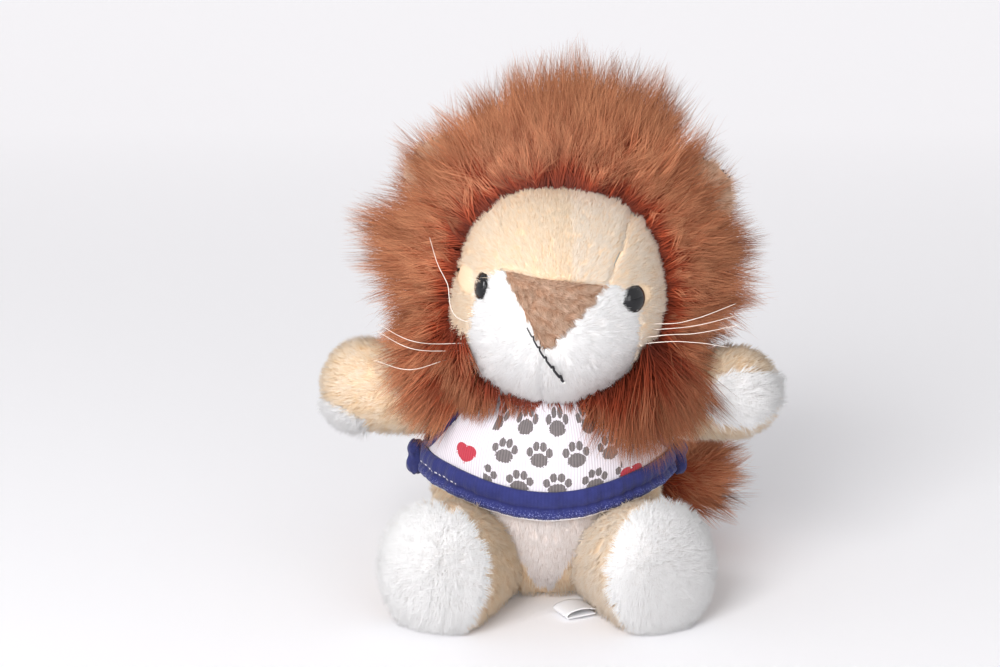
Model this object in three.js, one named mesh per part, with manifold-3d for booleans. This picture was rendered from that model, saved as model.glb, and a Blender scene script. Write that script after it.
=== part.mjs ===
// A seated plush lion with a long mane, a knit shirt and a tufted tail.
// Millimetres, +Z up. The toy looks along -Y and its own left is +X.
// The origin is the centre of the flat patch that it sits on.
import * as THREE from 'three';
import { mergeVertices } from 'three/addons/utils/BufferGeometryUtils.js';
import Module from 'manifold-3d';

const wasm = await Module();
wasm.setup();

const { degToRad, lerp } = THREE.MathUtils;

// Cloth and clearances
const skin = 1.5;
const gap = 0.3;
const wearGap = 0.6;
const swingEase = 1;
const seatGap = 0.5;
const seatRadius = 2.5;
const overrun = 30;
const sweepSteps = 3;
const flatness = 0.04;

// Torso: a pear, widest at the belly, cut flat at the seat and at the neck
const torsoHeight = 76;
const torsoHalfWidth = 42;
const torsoHalfDepth = 37;
const torsoLeanSide = 1.5;
const torsoLeanFront = 11;
const bellyShare = 0.42;
const seatShare = 0.62;
const neckShare = 0.55;
const seatPower = 3;
const neckPower = 4;
const torsoSides = 20;
const torsoRows = 7;

// Tummy panel: a shield between the legs
const tummyTop = 52;
const tummyBottom = 6;
const tummyHalfWidth = 25;
const tummyBack = 18;
const tummyShares = [[1, 0], [0.86, 0.3], [0.62, 0.5], [0.3, 0.76], [0.1, 1]];

// Head: an ellipsoid cut flat at the neck, a little turned and tilted on the torso
const headHalfWidth = 39.5;
const headHalfDepth = 42;
const headHalfHeight = 40;
const headSide = 5;
const headFront = 15;
const headRise = 34;
const headTurn = degToRad(-4);
const headTilt = degToRad(4);
const headSides = 18;
const headRows = 12;
const hairline = 12;
const chinLine = 31;

// Face panels, seen from the front
const noseHalfWidth = 16.5;
const noseTop = 11;
const noseTip = 12.5;
const gussetTopHalfWidth = 24;
const gussetBendShare = 1 / 3;
const muzzleHalfWidth = 29;
const muzzleCorner = 25;
const muzzleChinHalfWidth = 20;

// Eyes with a shank and a washer behind the cloth
const eyeAside = 26.5;
const eyeUp = 5.5;
const eyeRadius = 4.9;
const eyeDome = 3.4;
const eyeRim = 0.8;
const eyeFootShare = 0.92;
const eyeDomeShares = [[0.86, 0.62], [0.5, 0.92], [0, 1]];
const shankRadius = 1.6;
const shankLength = 8;
const washerRadius = 5.5;
const washerThickness = 1;
const washerDepth = 2.9;
const eyeSides = 14;

// Mouth thread
const threadRadius = 0.45;
const threadLift = 0.95;
const threadSides = 5;
const threadSteps = 10;
const stitchesPerLeg = 3;
const mouthStart = [-8, -3.5];
const mouthBend = [-1, -13.5];
const mouthEnd = [6, -23];

// Whiskers: four threads of nylon, each through the muzzle from side to side
const whiskerRadius = 0.25;
const whiskerHole = 0.35;
const whiskerSides = 4;
const whiskerSteps = 14;
const whiskerNames = ['top', 'upper', 'lower', 'bottom'];
const whiskerRouteShares = [
  [[-1.14, -0.33, 0.6], [-1.04, -0.52, 0.28], [-0.89, -0.45, 0.08], [0, -0.5, -0.08],
    [0.86, -0.48, -0.1], [1.16, -0.57, -0.03], [1.52, -0.52, 0.12]],
  [[-1.52, -0.38, -0.18], [-1.19, -0.52, -0.25], [-0.87, -0.43, -0.28], [0, -0.48, -0.25],
    [0.87, -0.43, -0.18], [1.19, -0.5, -0.1], [1.52, -0.45, 0]],
  [[-1.52, -0.48, -0.25], [-1.19, -0.6, -0.35], [-0.84, -0.45, -0.39], [0, -0.55, -0.35],
    [0.86, -0.5, -0.25], [1.19, -0.57, -0.21], [1.57, -0.52, -0.15]],
  [[-1.52, -0.4, -0.58], [-1.19, -0.57, -0.62], [-0.8, -0.43, -0.49], [0, -0.55, -0.45],
    [0.84, -0.5, -0.34], [1.19, -0.57, -0.31], [1.47, -0.52, -0.38]],
];

// Mane: long pile round the head, open in front for the face. Its outline's shares run round the face
// in equal steps, from the toy's left side upwards.
const maneHalfWidth = 67;
const maneHalfDepth = 44;
const maneHalfHeight = 67;
const maneBack = 18;
const maneRise = 14;
const maneRows = 12;
const maneOutlineShares = [0.97, 0.96, 0.97, 0.98, 0.97, 0.93, 0.93, 0.95, 1.02, 1.04, 1.08, 1, 0.9, 1, 1.08, 1.06];
const faceOpening = 48;
const crownHalfAngle = degToRad(34);
const jawSplit = 26;
const armNotchInner = 24;

// Beard: the fringe below the chin, over the shirt
const beardHalfWidth = 46;
const beardHalfDepth = 24;
const beardHalfHeight = 34;
const beardFront = 19;
const beardDrop = 24;
const beardSides = 16;
const beardRows = 10;

// Ears: two layers of short pile, standing out through the mane
const earAngle = degToRad(51);
const earReach = 68;
const earHalfWidth = 13;
const earHalfHeight = 15;
const earThickness = 2.2;
const earCup = 4;
const earBack = 3;
const earSides = 12;
const earRows = 4;

// Arms: short stubs that swell to the paw
const shoulderAside = 35;
const shoulderDrop = 9;
const armReach = 46;
const armRoot = 9;
const armRadius = 15.5;
const armTaperShare = 0.3;
const armRootPower = 2.2;
const armTipPower = 3;
const armRows = 7;
const armRise = degToRad(11);
const armForward = [degToRad(10), degToRad(-10)];
const pawRoll = [degToRad(0), degToRad(55)];
const pawFromTip = 13;
const pawHalfLength = 11;
const pawHalfWidth = 8.5;
const pawSides = 16;
const armDrop = 9;
const armLift = 8;

// Legs: stuffed tubes with an oval sole
const hipAside = 19.5;
const hipFront = 15;
const hipUp = 14.5;
const legReach = 50;
const legRoot = 13;
const legHalfWidth = 19.5;
const legHalfHeight = 22;
const legTaperShare = 0.22;
const legRootPower = 2.4;
const legTipPower = 7;
const legRows = 8;
const limbSides = 12;
const legSplay = degToRad(27);
const legRise = degToRad(8);
const soleDepth = 9;
const legSwing = 8;

// Tail: a narrow cloth tube with a tuft of long pile
const tailSide = 10;
const tailUp = 15;
const tailInset = 6;
const tailRadius = 4.2;
const tailEnd = [44, 41, 24];
const tailBendShares = [0.12, 0.5];
const tailSides = 8;
const tailSteps = 10;
const tuftHalfLength = 17;
const tuftRadius = 14;
const tuftTaperShare = -0.1;
const tuftPower = 2;
const tuftRows = 8;
const tuftTurn = degToRad(-8);
const tuftRise = degToRad(4);
const tailSwing = 20;
const tailPress = 3;

// Shirt: rib knit, two panels joined at the sides, with a contrasting band round the hem
const knit = 1.2;
const hemSideHeight = 42;
const hemFrontHeight = 35.5;
const hemBackHeight = 43;
const hemPower = 4;
const shirtTopDrop = 1;
const shirtRows = 5;
const bandHeight = 9.5;
const bandThickness = 1.8;
const bandRows = 2;
const sleeveBandWidth = 4;
const sideSeam = 3;
const tabHeight = 7;
const tabWidth = 7;
const tabThickness = 4;
const tabSides = 10;

// Label: a folded ribbon sewn to the underside of the left leg, pointing inwards
const labelAlong = 19;
const labelUp = 2;
const labelLength = 11.5;
const labelWidth = 10;
const labelFold = 1.6;
const ribbon = 0.4;
const labelArcs = 6;

// How far the head turns each way, in degrees
const headSwing = 12;

const sides = [1, -1];
const sideNames = ['left', 'right'];

// Colours
const cream = { color: 0xecd6a4, roughness: 0.95, metalness: 0 };
const white = { color: 0xf2f0ee, roughness: 0.95, metalness: 0 };
const tan = { color: 0xa88561, roughness: 0.95, metalness: 0 };
const rust = { color: 0xa8522c, roughness: 0.9, metalness: 0 };
const fill = { color: 0xf7f7f5, roughness: 1, metalness: 0 };
const blackGloss = { color: 0x08080a, roughness: 0.08, metalness: 0 };
const clearPlastic = { color: 0xd8d8d4, roughness: 0.4, metalness: 0 };
const nylon = { color: 0xf4f1ea, roughness: 0.25, metalness: 0 };
const blackThread = { color: 0x17151a, roughness: 0.8, metalness: 0 };
const whiteKnit = { color: 0xf0eeee, roughness: 0.9, metalness: 0 };
const blueKnit = { color: 0x26309a, roughness: 0.9, metalness: 0 };
const ribbonWhite = { color: 0xeeeeee, roughness: 0.6, metalness: 0 };

// A closed geometry as a solid that can be cut and joined
function solidOf(geometry) {
  const bare = geometry.clone();
  bare.deleteAttribute('normal');
  bare.deleteAttribute('uv');
  const merged = mergeVertices(bare);
  const corners = merged.index.array;
  const kept = [];
  for (let i = 0; i < corners.length; i += 3) {
    const [a, b, c] = [corners[i], corners[i + 1], corners[i + 2]];
    if (a !== b && b !== c && c !== a) kept.push(a, b, c);
  }
  return new wasm.Manifold(new wasm.Mesh({
    numProp: 3,
    vertProperties: new Float32Array(merged.attributes.position.array),
    triVerts: new Uint32Array(kept),
  }));
}

// A solid back as a geometry
function geometryOf(solid) {
  const mesh = solid.getMesh();
  const geometry = new THREE.BufferGeometry();
  geometry.setAttribute('position', new THREE.BufferAttribute(new Float32Array(mesh.vertProperties), 3));
  geometry.setIndex(new THREE.BufferAttribute(new Uint32Array(mesh.triVerts), 1));
  geometry.computeVertexNormals();
  return geometry;
}

// A named mesh of a solid, without the slivers that cutting leaves
function addPiece(group, name, solid, finish) {
  const mesh = new THREE.Mesh(geometryOf(solid.simplify(flatness)), new THREE.MeshStandardMaterial(finish));
  mesh.name = name;
  group.add(mesh);
}

// Rings of equal count as one geometry; a closed loop of rings joins its last ring to its first
function ringGeometry(rings, loops) {
  const count = rings[0].length;
  const points = rings.flat();
  const faces = [];
  const steps = loops ? rings.length : rings.length - 1;
  for (let k = 0; k < steps; k += 1) {
    const above = (k + 1) % rings.length;
    for (let s = 0; s < count; s += 1) {
      const next = (s + 1) % count;
      const [a, b] = [k * count + s, k * count + next];
      const [c, d] = [above * count + next, above * count + s];
      faces.push(a, b, c, a, c, d);
    }
  }
  if (!loops) {
    const middle = (ring) => ring.reduce((sum, p) => sum.add(p), new THREE.Vector3()).divideScalar(count);
    const low = points.push(middle(rings[0])) - 1;
    const high = points.push(middle(rings[rings.length - 1])) - 1;
    const last = (rings.length - 1) * count;
    for (let s = 0; s < count; s += 1) {
      const next = (s + 1) % count;
      faces.push(low, next, s, high, last + s, last + next);
    }
  }
  const geometry = new THREE.BufferGeometry().setFromPoints(points);
  geometry.setIndex(faces);
  return geometry;
}

// An ellipsoid about a centre
function ellipsoid(halfX, halfY, halfZ, centre, around, rows) {
  const geometry = new THREE.SphereGeometry(1, around, rows);
  geometry.scale(halfX, halfY, halfZ);
  geometry.rotateX(Math.PI / 2);
  geometry.scale(1, halfY / halfZ, halfZ / halfY);
  geometry.translate(centre.x, centre.y, centre.z);
  return solidOf(geometry);
}

// A box between two corners
function box(low, high) {
  const size = new THREE.Vector3().subVectors(high, low);
  const middle = new THREE.Vector3().addVectors(low, high).divideScalar(2);
  const geometry = new THREE.BoxGeometry(size.x, size.y, size.z);
  geometry.translate(middle.x, middle.y, middle.z);
  return solidOf(geometry);
}

// An outline in X and Z, drawn in by an inset, carried along Y from front to back
function frontPrism(points, inset, front, back) {
  const outline = insetOutline(points.map(([x, z]) => new THREE.Vector2(x, z)), inset);
  const shape = new THREE.Shape(outline);
  const geometry = new THREE.ExtrudeGeometry(shape, { depth: back - front, bevelEnabled: false });
  geometry.rotateX(Math.PI / 2);
  geometry.translate(0, back, 0);
  return solidOf(geometry);
}

// A closed outline with each edge moved inwards by a distance
function insetOutline(points, distance) {
  const turned = THREE.ShapeUtils.isClockWise(points) ? points.slice().reverse() : points;
  return turned.map((point, i) => {
    const before = turned[(i + turned.length - 1) % turned.length];
    const after = turned[(i + 1) % turned.length];
    const first = new THREE.Vector2().subVectors(point, before).normalize();
    const second = new THREE.Vector2().subVectors(after, point).normalize();
    const firstIn = new THREE.Vector2(-first.y, first.x);
    const secondIn = new THREE.Vector2(-second.y, second.x);
    const both = new THREE.Vector2().addVectors(firstIn, secondIn);
    return point.clone().addScaledVector(both, distance * 2 / both.lengthSq());
  });
}

function joined(solids) {
  return solids.reduce((all, one) => all.add(one));
}

function turnAbout(pivot, axis, angle) {
  const turn = new THREE.Matrix4().makeRotationAxis(axis, angle);
  const there = new THREE.Matrix4().makeTranslation(pivot.x, pivot.y, pivot.z);
  const back = new THREE.Matrix4().makeTranslation(-pivot.x, -pivot.y, -pivot.z);
  return there.multiply(turn).multiply(back);
}

// The space that a solid sweeps when it turns about a line, in equal steps between two angles in degrees
function swept(solid, pivot, axis, low, high, steps) {
  let space = solid;
  for (let i = 0; i <= steps; i += 1) {
    const angle = degToRad(low + (high - low) * i / steps);
    space = space.add(solid.transform(turnAbout(pivot, axis, angle).elements));
  }
  return space;
}

// How full a limb is at a share of its length, from -1 at the root to 1 at the tip
function fullnessAt(shape, share) {
  const power = share < 0 ? shape.rootPower : shape.tipPower;
  return Math.sqrt(1 - Math.abs(share) ** power) * (1 + shape.taperShare * share);
}

// Half of a limb's length, grown by a distance and by what two swings about Z and about Y add
function halfLength(shape, grow, swingAboutZ = 0, swingAboutY = 0) {
  const stretch = shape.halfWidth * Math.sin(swingAboutZ) + shape.halfHeight * Math.sin(swingAboutY);
  return (shape.reach + shape.root) / 2 + grow + stretch;
}

// Where the small flat end at a limb's root lies along its axis
function rootEnd(shape, half) {
  return (shape.reach - shape.root) / 2 - Math.cos(Math.PI / shape.rows) * half;
}

// Where a limb's cloth is open at its root, level with the end of its stuffing
function openEnd(shape) {
  return rootEnd(shape, halfLength(shape, -skin - gap));
}

// The knot that a limb's root turns on, from the torso's cloth to the limb's stuffing
function limbSeat(shape, group, swingAboutZ, swingAboutY) {
  const wall = rootEnd(shape, halfLength(shape, gap + swingEase, swingAboutZ, swingAboutY)) - skin / 2;
  const end = openEnd(shape) - seatGap;
  const geometry = new THREE.CylinderGeometry(seatRadius, seatRadius, end - wall, limbSides);
  geometry.rotateZ(Math.PI / 2);
  geometry.translate((wall + end) / 2, 0, 0);
  return solidOf(geometry).transform(group.matrix.elements);
}

// A stuffed limb along +X about its joint: an oval section that swells, with a rounder root than tip.
// Two angles widen and lengthen it to the room that it needs when it swings by them, about Z and about Y.
function limb(shape, grow, swingAboutZ = 0, swingAboutY = 0) {
  const { root, reach, halfWidth, halfHeight, around, rows } = shape;
  const middle = (reach - root) / 2;
  const half = halfLength(shape, grow, swingAboutZ, swingAboutY);
  const rings = [];
  for (let k = 1; k < rows; k += 1) {
    const u = -Math.cos(Math.PI * k / rows);
    const x = middle + u * half;
    const fullness = fullnessAt(shape, u);
    const wide = (halfWidth + grow) * fullness / Math.cos(swingAboutZ) + Math.abs(x) * Math.tan(swingAboutZ);
    const high = (halfHeight + grow) * fullness / Math.cos(swingAboutY) + Math.abs(x) * Math.tan(swingAboutY);
    const ring = [];
    for (let s = 0; s < around; s += 1) {
      const turn = 2 * Math.PI * s / around;
      ring.push(new THREE.Vector3(x, wide * Math.cos(turn), high * Math.sin(turn)));
    }
    rings.push(ring);
  }
  return solidOf(ringGeometry(rings, false));
}

// The torso's own half sizes and centre at a height
function torsoAt(height) {
  const share = THREE.MathUtils.clamp(height / torsoHeight, 0, 1);
  const low = 1 - (1 - seatShare) * Math.max(0, (bellyShare - share) / bellyShare) ** seatPower;
  const high = 1 - (1 - neckShare) * Math.max(0, (share - bellyShare) / (1 - bellyShare)) ** neckPower;
  return {
    width: torsoHalfWidth * low * high,
    depth: torsoHalfDepth * low * high,
    x: torsoLeanSide * share,
    y: -torsoLeanFront * share ** 2,
  };
}

function torsoPoint(turn, height, grow) {
  const at = torsoAt(height);
  const x = at.x + (at.width + grow) * Math.cos(turn);
  const y = at.y + (at.depth + grow) * Math.sin(turn);
  return new THREE.Vector3(x, y, height);
}

// The torso grown by a distance, between two heights, with a straight stub above if it is to cut the top open
function torsoSolid(grow, low, high, around, rows, stub = 0) {
  const rings = [];
  for (let k = 0; k <= rows; k += 1) {
    const height = low + (high - low) * (1 - Math.cos(Math.PI * k / rows)) / 2;
    const ring = [];
    for (let s = 0; s < around; s += 1) ring.push(torsoPoint(2 * Math.PI * s / around, height, grow));
    rings.push(ring);
  }
  if (stub > 0) rings.push(rings[rows].map((point) => point.clone().setZ(point.z + stub)));
  return solidOf(ringGeometry(rings, false));
}

// The hem's height round the torso: low over the belly, high at the sides
function hemHeight(turn) {
  const facing = Math.sin(turn);
  const end = facing < 0 ? hemFrontHeight : hemBackHeight;
  return hemSideHeight - (hemSideHeight - end) * Math.abs(facing) ** hemPower;
}

// A sleeve of cloth on the torso between two heights that may vary round it
function torsoSleeve(lowAt, highAt, inner, outer, rows) {
  const layer = (grow) => {
    const rings = [];
    for (let k = 0; k <= rows; k += 1) {
      const ring = [];
      for (let s = 0; s < torsoSides; s += 1) {
        const turn = 2 * Math.PI * s / torsoSides;
        ring.push(torsoPoint(turn, lerp(lowAt(turn), highAt(turn), k / rows), grow));
      }
      rings.push(ring);
    }
    return rings;
  };
  return solidOf(ringGeometry([...layer(outer), ...layer(inner).reverse()], true));
}

// Frames of the limbs and the head on the torso
const up = new THREE.Vector3(0, 0, 1);
const shoulderUp = torsoHeight - shoulderDrop;
const shirtTop = torsoHeight - shirtTopDrop;
const headCentre = new THREE.Vector3(headSide, -headFront, torsoHeight + headRise);
const lion = new THREE.Group();
const head = new THREE.Group();
head.position.copy(headCentre);
head.rotation.set(0, headTilt, headTurn, 'ZYX');
lion.add(head);
head.updateMatrix();

function limbGroup(side, aside, front, height, turn, rise) {
  const group = new THREE.Group();
  group.position.set(side * aside, -front, height);
  group.rotation.set(0, -rise, side > 0 ? -turn : Math.PI + turn, 'ZYX');
  group.updateMatrix();
  lion.add(group);
  return group;
}

const shoulderLean = torsoAt(shoulderUp);
const arms = sides.map((side, i) => {
  const group = limbGroup(side, shoulderAside, -shoulderLean.y, shoulderUp, armForward[i], armRise);
  group.position.x += shoulderLean.x;
  group.updateMatrix();
  return group;
});
const legs = sides.map((side) => limbGroup(side, hipAside, hipFront, hipUp, Math.PI / 2 - legSplay, legRise));

const armShape = {
  root: armRoot,
  reach: armReach,
  halfWidth: armRadius,
  halfHeight: armRadius,
  taperShare: armTaperShare,
  rootPower: armRootPower,
  tipPower: armTipPower,
  around: limbSides,
  rows: armRows,
};
const legShape = {
  root: legRoot,
  reach: legReach,
  halfWidth: legHalfWidth,
  halfHeight: legHalfHeight,
  taperShare: legTaperShare,
  rootPower: legRootPower,
  tipPower: legTipPower,
  around: limbSides,
  rows: legRows,
};
const ground = box(
  new THREE.Vector3(-4 * legReach, -4 * legReach, -4 * overrun),
  new THREE.Vector3(4 * legReach, 4 * legReach, 0),
);

const armHalfSwing = degToRad(armDrop + armLift) / 2;
const legHalfSwing = degToRad(legSwing);

// The room that the limbs need in the torso and the shirt at any angle of their swing
function armRoom(i, grow) {
  const room = limb(armShape, grow + swingEase, 0, armHalfSwing).transform(arms[i].matrix.elements);
  const middle = degToRad(armLift - armDrop) / 2;
  const axis = new THREE.Vector3(0, -sides[i], 0);
  return room.transform(turnAbout(arms[i].position, axis, middle).elements);
}

function legRoom(i, grow) {
  return limb(legShape, grow + swingEase, legHalfSwing).transform(legs[i].matrix.elements);
}

function allLimbRoom(grow) {
  return armRoom(0, grow).add(armRoom(1, grow)).add(legRoom(0, grow)).add(legRoom(1, grow));
}

// Torso
function addTorso() {
  const outer = torsoSolid(0, 0, torsoHeight, torsoSides, torsoRows);
  const inner = torsoSolid(-skin, skin, torsoHeight, torsoSides, torsoRows, overrun);
  const core = torsoSolid(-skin - gap, skin + gap, torsoHeight - gap, torsoSides, torsoRows);
  const shell = outer.subtract(inner.subtract(allLimbRoom(gap + skin))).subtract(allLimbRoom(gap));
  const seats = [
    ...arms.map((group) => limbSeat(armShape, group, 0, armHalfSwing)),
    ...legs.map((group) => limbSeat(legShape, group, legHalfSwing, 0)),
  ];
  const cloth = joined([shell, ...seats]).subtract(tailSpace(gap));
  const shield = [];
  for (const [wide, down] of tummyShares) {
    shield.push([wide * tummyHalfWidth, lerp(tummyTop, tummyBottom, down)]);
  }
  const outline = [...shield, ...shield.slice().reverse().map(([x, z]) => [-x, z])];
  const front = -torsoHalfDepth - overrun;
  const panel = frontPrism(outline, gap / 2, front, -tummyBack);
  const window = frontPrism(outline, -gap / 2, front, -tummyBack + gap);
  addPiece(lion, 'torso_skin', cloth.subtract(window), cream);
  addPiece(lion, 'tummy_panel', cloth.intersect(panel), white);
  const stuffing = core.subtract(allLimbRoom(skin + 3 * gap)).subtract(tailSpace(skin + gap));
  addPiece(lion, 'torso_stuffing', stuffing, fill);
}

// Arms with a white paw pad set into the cloth
function addArm(i) {
  const group = arms[i];
  const outer = limb(armShape, 0);
  const inner = limb(armShape, -skin);
  const opening = box(
    new THREE.Vector3(-armRoot - overrun, -overrun, -overrun),
    new THREE.Vector3(openEnd(armShape), overrun, overrun),
  );
  const shell = outer.subtract(inner).subtract(opening);
  const pad = (grow) => {
    const disc = new THREE.CylinderGeometry(1, 1, overrun, pawSides);
    disc.scale(pawHalfLength + grow, 1, pawHalfWidth + grow);
    disc.translate(armReach - pawFromTip, -overrun / 2, 0);
    disc.rotateX(sides[i] > 0 ? pawRoll[i] : Math.PI - pawRoll[i]);
    return solidOf(disc);
  };
  addPiece(group, `arm_skin_${sideNames[i]}`, shell.subtract(pad(gap)), cream);
  addPiece(group, `paw_pad_${sideNames[i]}`, shell.intersect(pad(0)), white);
  addPiece(group, `arm_stuffing_${sideNames[i]}`, limb(armShape, -skin - gap).subtract(opening), fill);
}

// Legs with a white sole, resting flat on the ground
function addLeg(i) {
  const group = legs[i];
  const toLeg = group.matrix.clone().invert();
  const below = (height) => ground.translate(0, 0, height).transform(toLeg.elements);
  const reachBox = (from, to) => box(
    new THREE.Vector3(from, -overrun, -overrun),
    new THREE.Vector3(to, overrun, overrun),
  );
  const hollow = limb(legShape, -skin).subtract(below(skin));
  const shell = limb(legShape, 0).subtract(hollow).subtract(below(0));
  const opening = reachBox(-legRoot - overrun, openEnd(legShape));
  const seam = legReach - soleDepth;
  const legCloth = shell.subtract(opening).subtract(reachBox(seam - gap / 2, legReach + overrun));
  addPiece(group, `leg_skin_${sideNames[i]}`, legCloth, cream);
  const sole = shell.intersect(reachBox(seam + gap / 2, legReach + overrun));
  addPiece(group, `sole_pad_${sideNames[i]}`, sole, white);
  const core = limb(legShape, -skin - gap).subtract(opening).subtract(below(skin + gap));
  addPiece(group, `leg_stuffing_${sideNames[i]}`, core, fill);
}

// Tail
const tailSeat = torsoPoint(Math.PI / 2, tailUp, 0);
const tailPivot = new THREE.Vector3(tailSide, tailSeat.y - tailInset, tailUp);
const tuftShape = {
  root: 0,
  reach: 2 * tuftHalfLength,
  halfWidth: tuftRadius,
  halfHeight: tuftRadius,
  taperShare: tuftTaperShare,
  rootPower: tuftPower,
  tipPower: tuftPower,
  around: limbSides,
  rows: tuftRows,
};

function tailCurve() {
  const [endX, endY, endZ] = tailEnd;
  const [firstBend, secondBend] = tailBendShares.map((share) => lerp(tailPivot.x, endX, share));
  const out = tailSeat.y + 2 * tailRadius;
  return new THREE.CatmullRomCurve3([
    tailPivot,
    new THREE.Vector3(firstBend, out, tailUp),
    new THREE.Vector3(secondBend, out + tailRadius, (tailUp + endZ) / 2),
    new THREE.Vector3(endX, endY, endZ),
  ]);
}

function tube(curve, radius, around, steps) {
  const circle = new THREE.EllipseCurve(0, 0, radius, radius);
  const section = new THREE.Shape(circle.getPoints(around).slice(0, around));
  return solidOf(new THREE.ExtrudeGeometry(section, { steps, extrudePath: curve, bevelEnabled: false }));
}

function tailSpace(grow) {
  const root = new THREE.SphereGeometry(tailRadius + grow, limbSides, tuftRows);
  root.translate(tailPivot.x, tailPivot.y, tailPivot.z);
  const cord = tube(tailCurve(), tailRadius + grow, tailSides, tailSteps);
  return swept(cord, tailPivot, up, -tailPress, tailSwing, sweepSteps).add(solidOf(root));
}

function addTail() {
  const tuft = limb(tuftShape, 0);
  const [x, y, z] = tailEnd;
  const group = new THREE.Group();
  group.position.set(x + gap, y, z);
  group.rotation.set(0, -tuftRise, tuftTurn, 'ZYX');
  group.updateMatrix();
  lion.add(group);
  const cord = tube(tailCurve(), tailRadius, tailSides, tailSteps);
  const socket = tube(tailCurve(), tailRadius + gap, tailSides, tailSteps);
  const notch = socket.transform(group.matrix.clone().invert().elements);
  addPiece(lion, 'tail_cord', cord, rust);
  addPiece(group, 'tail_tuft', tuft.subtract(notch), rust);
}

// Shirt with its bands, cut clear of the limbs
function addShirt() {
  const limbs = allLimbRoom(wearGap);
  const inner = wearGap;
  const outer = wearGap + knit;
  const bandInner = outer + gap;
  const bandOuter = bandInner + bandThickness;
  const underBand = (turn) => hemHeight(turn) + bandHeight / 2;
  const overBand = (turn) => hemHeight(turn) + bandHeight;
  const cloth = torsoSleeve(underBand, () => shirtTop, inner, outer, shirtRows).subtract(limbs);
  const hem = torsoSleeve(hemHeight, overBand, bandInner, bandOuter, bandRows).subtract(limbs);
  const seamY = -sideSeam;
  const wide = 2 * torsoHalfWidth;
  const frontHalf = box(
    new THREE.Vector3(-wide, -wide, -overrun),
    new THREE.Vector3(wide, seamY - gap / 2, 2 * wide),
  );
  const backHalf = box(
    new THREE.Vector3(-wide, seamY + gap / 2, -overrun),
    new THREE.Vector3(wide, wide, 2 * wide),
  );
  addPiece(lion, 'shirt_front', cloth.intersect(frontHalf), whiteKnit);
  addPiece(lion, 'shirt_back', cloth.intersect(backHalf), whiteKnit);
  addPiece(lion, 'hem_band_front', hem.intersect(frontHalf), blueKnit);
  addPiece(lion, 'hem_band_back', hem.intersect(backHalf), blueKnit);
  sides.forEach((side, i) => {
    const at = torsoPoint(side > 0 ? 0 : Math.PI, hemSideHeight, bandOuter + gap);
    const tab = new THREE.CylinderGeometry(tabThickness / 2, tabThickness / 2, tabWidth, tabSides);
    tab.scale(1, 1, tabHeight / tabThickness);
    tab.translate(at.x + side * tabThickness / 2, seamY, at.z + tabHeight / 2);
    addPiece(lion, `side_tab_${sideNames[i]}`, solidOf(tab), blueKnit);
    addPiece(lion, `sleeve_band_${sideNames[i]}`, sleeveBand(i, outer), blueKnit);
  });
}

// A band round an armhole's edge, standing off the shirt
function sleeveBand(i, shirtOuter) {
  const from = shirtOuter + gap;
  const low = hemSideHeight + bandHeight + gap;
  const layer = torsoSleeve(() => low, () => shirtTop, from, from + sleeveBandWidth, shirtRows);
  return layer.intersect(armRoom(i, wearGap + bandThickness)).subtract(armRoom(i, wearGap));
}

// A point on the head's surface, seen from the front, lifted off it
function onHead(x, z, lift) {
  const [w, d, h] = [headHalfWidth + lift, headHalfDepth + lift, headHalfHeight + lift];
  return new THREE.Vector3(x, -d * Math.sqrt(1 - (x / w) ** 2 - (z / h) ** 2), z);
}

const origin = new THREE.Vector3();

function headBlob(grow, around, rows) {
  const [w, d, h] = [headHalfWidth + grow, headHalfDepth + grow, headHalfHeight + grow];
  return ellipsoid(w, d, h, origin, around, rows);
}

// Everything of the torso's side below a height, brought into the head's frame
function belowNeck(height) {
  const wide = 4 * headHalfWidth;
  const slab = box(new THREE.Vector3(-wide, -wide, -wide), new THREE.Vector3(wide, wide, height));
  return slab.transform(head.matrix.clone().invert().elements);
}

function facePanels() {
  const noseEdge = [[-noseHalfWidth, noseTop], [0, noseTop + gap], [noseHalfWidth, noseTop]];
  const noseOutline = [...noseEdge, [0, -noseTip]];
  const far = headHalfHeight + skin;
  const bend = [(noseHalfWidth + gussetTopHalfWidth) / 2, lerp(noseTop, far, gussetBendShare)];
  const corner = [gussetTopHalfWidth, far];
  const gusset = [...noseEdge, bend, corner, [-corner[0], far], [-bend[0], bend[1]]];
  const muzzleEdge = [
    [noseHalfWidth, noseTop], [muzzleCorner, eyeUp + shankRadius], [muzzleHalfWidth, -eyeUp / 2],
    [muzzleHalfWidth, -noseTip], [(muzzleHalfWidth + muzzleCorner) / 2, -2 * noseTip + eyeUp],
    [muzzleChinHalfWidth, -far],
  ];
  const muzzle = [[0, -noseTip], ...muzzleEdge, [0, -far]];
  const cheek = [
    ...muzzleEdge.slice().reverse(), bend, corner, [far, far], [far, -far],
  ];
  return { noseOutline, gusset, muzzle, cheek };
}

function mirrored(outline, side) {
  return outline.map(([x, z]) => [side * x, z]);
}

// An eye's turned outline, about +Y, with the cloth's surface at zero
function eyeProfile() {
  return [
    new THREE.Vector2(0, -shankLength), new THREE.Vector2(shankRadius, -shankLength),
    new THREE.Vector2(shankRadius, gap), new THREE.Vector2(eyeRadius * eyeFootShare, gap),
    new THREE.Vector2(eyeRadius, gap + eyeRim),
    ...eyeDomeShares.map(([wide, high]) => new THREE.Vector2(eyeRadius * wide, gap + eyeDome * high)),
  ];
}

function eyeFrame(side) {
  const seat = onHead(side * eyeAside, eyeUp, 0);
  const half = new THREE.Vector3(headHalfWidth, headHalfDepth, headHalfHeight);
  const out = seat.clone().divide(half).divide(half);
  const frame = new THREE.Group();
  frame.position.copy(seat);
  frame.quaternion.setFromUnitVectors(new THREE.Vector3(0, 1, 0), out.normalize());
  frame.updateMatrix();
  return frame;
}

function turned(profile, around) {
  return solidOf(new THREE.LatheGeometry(profile, around));
}

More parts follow.
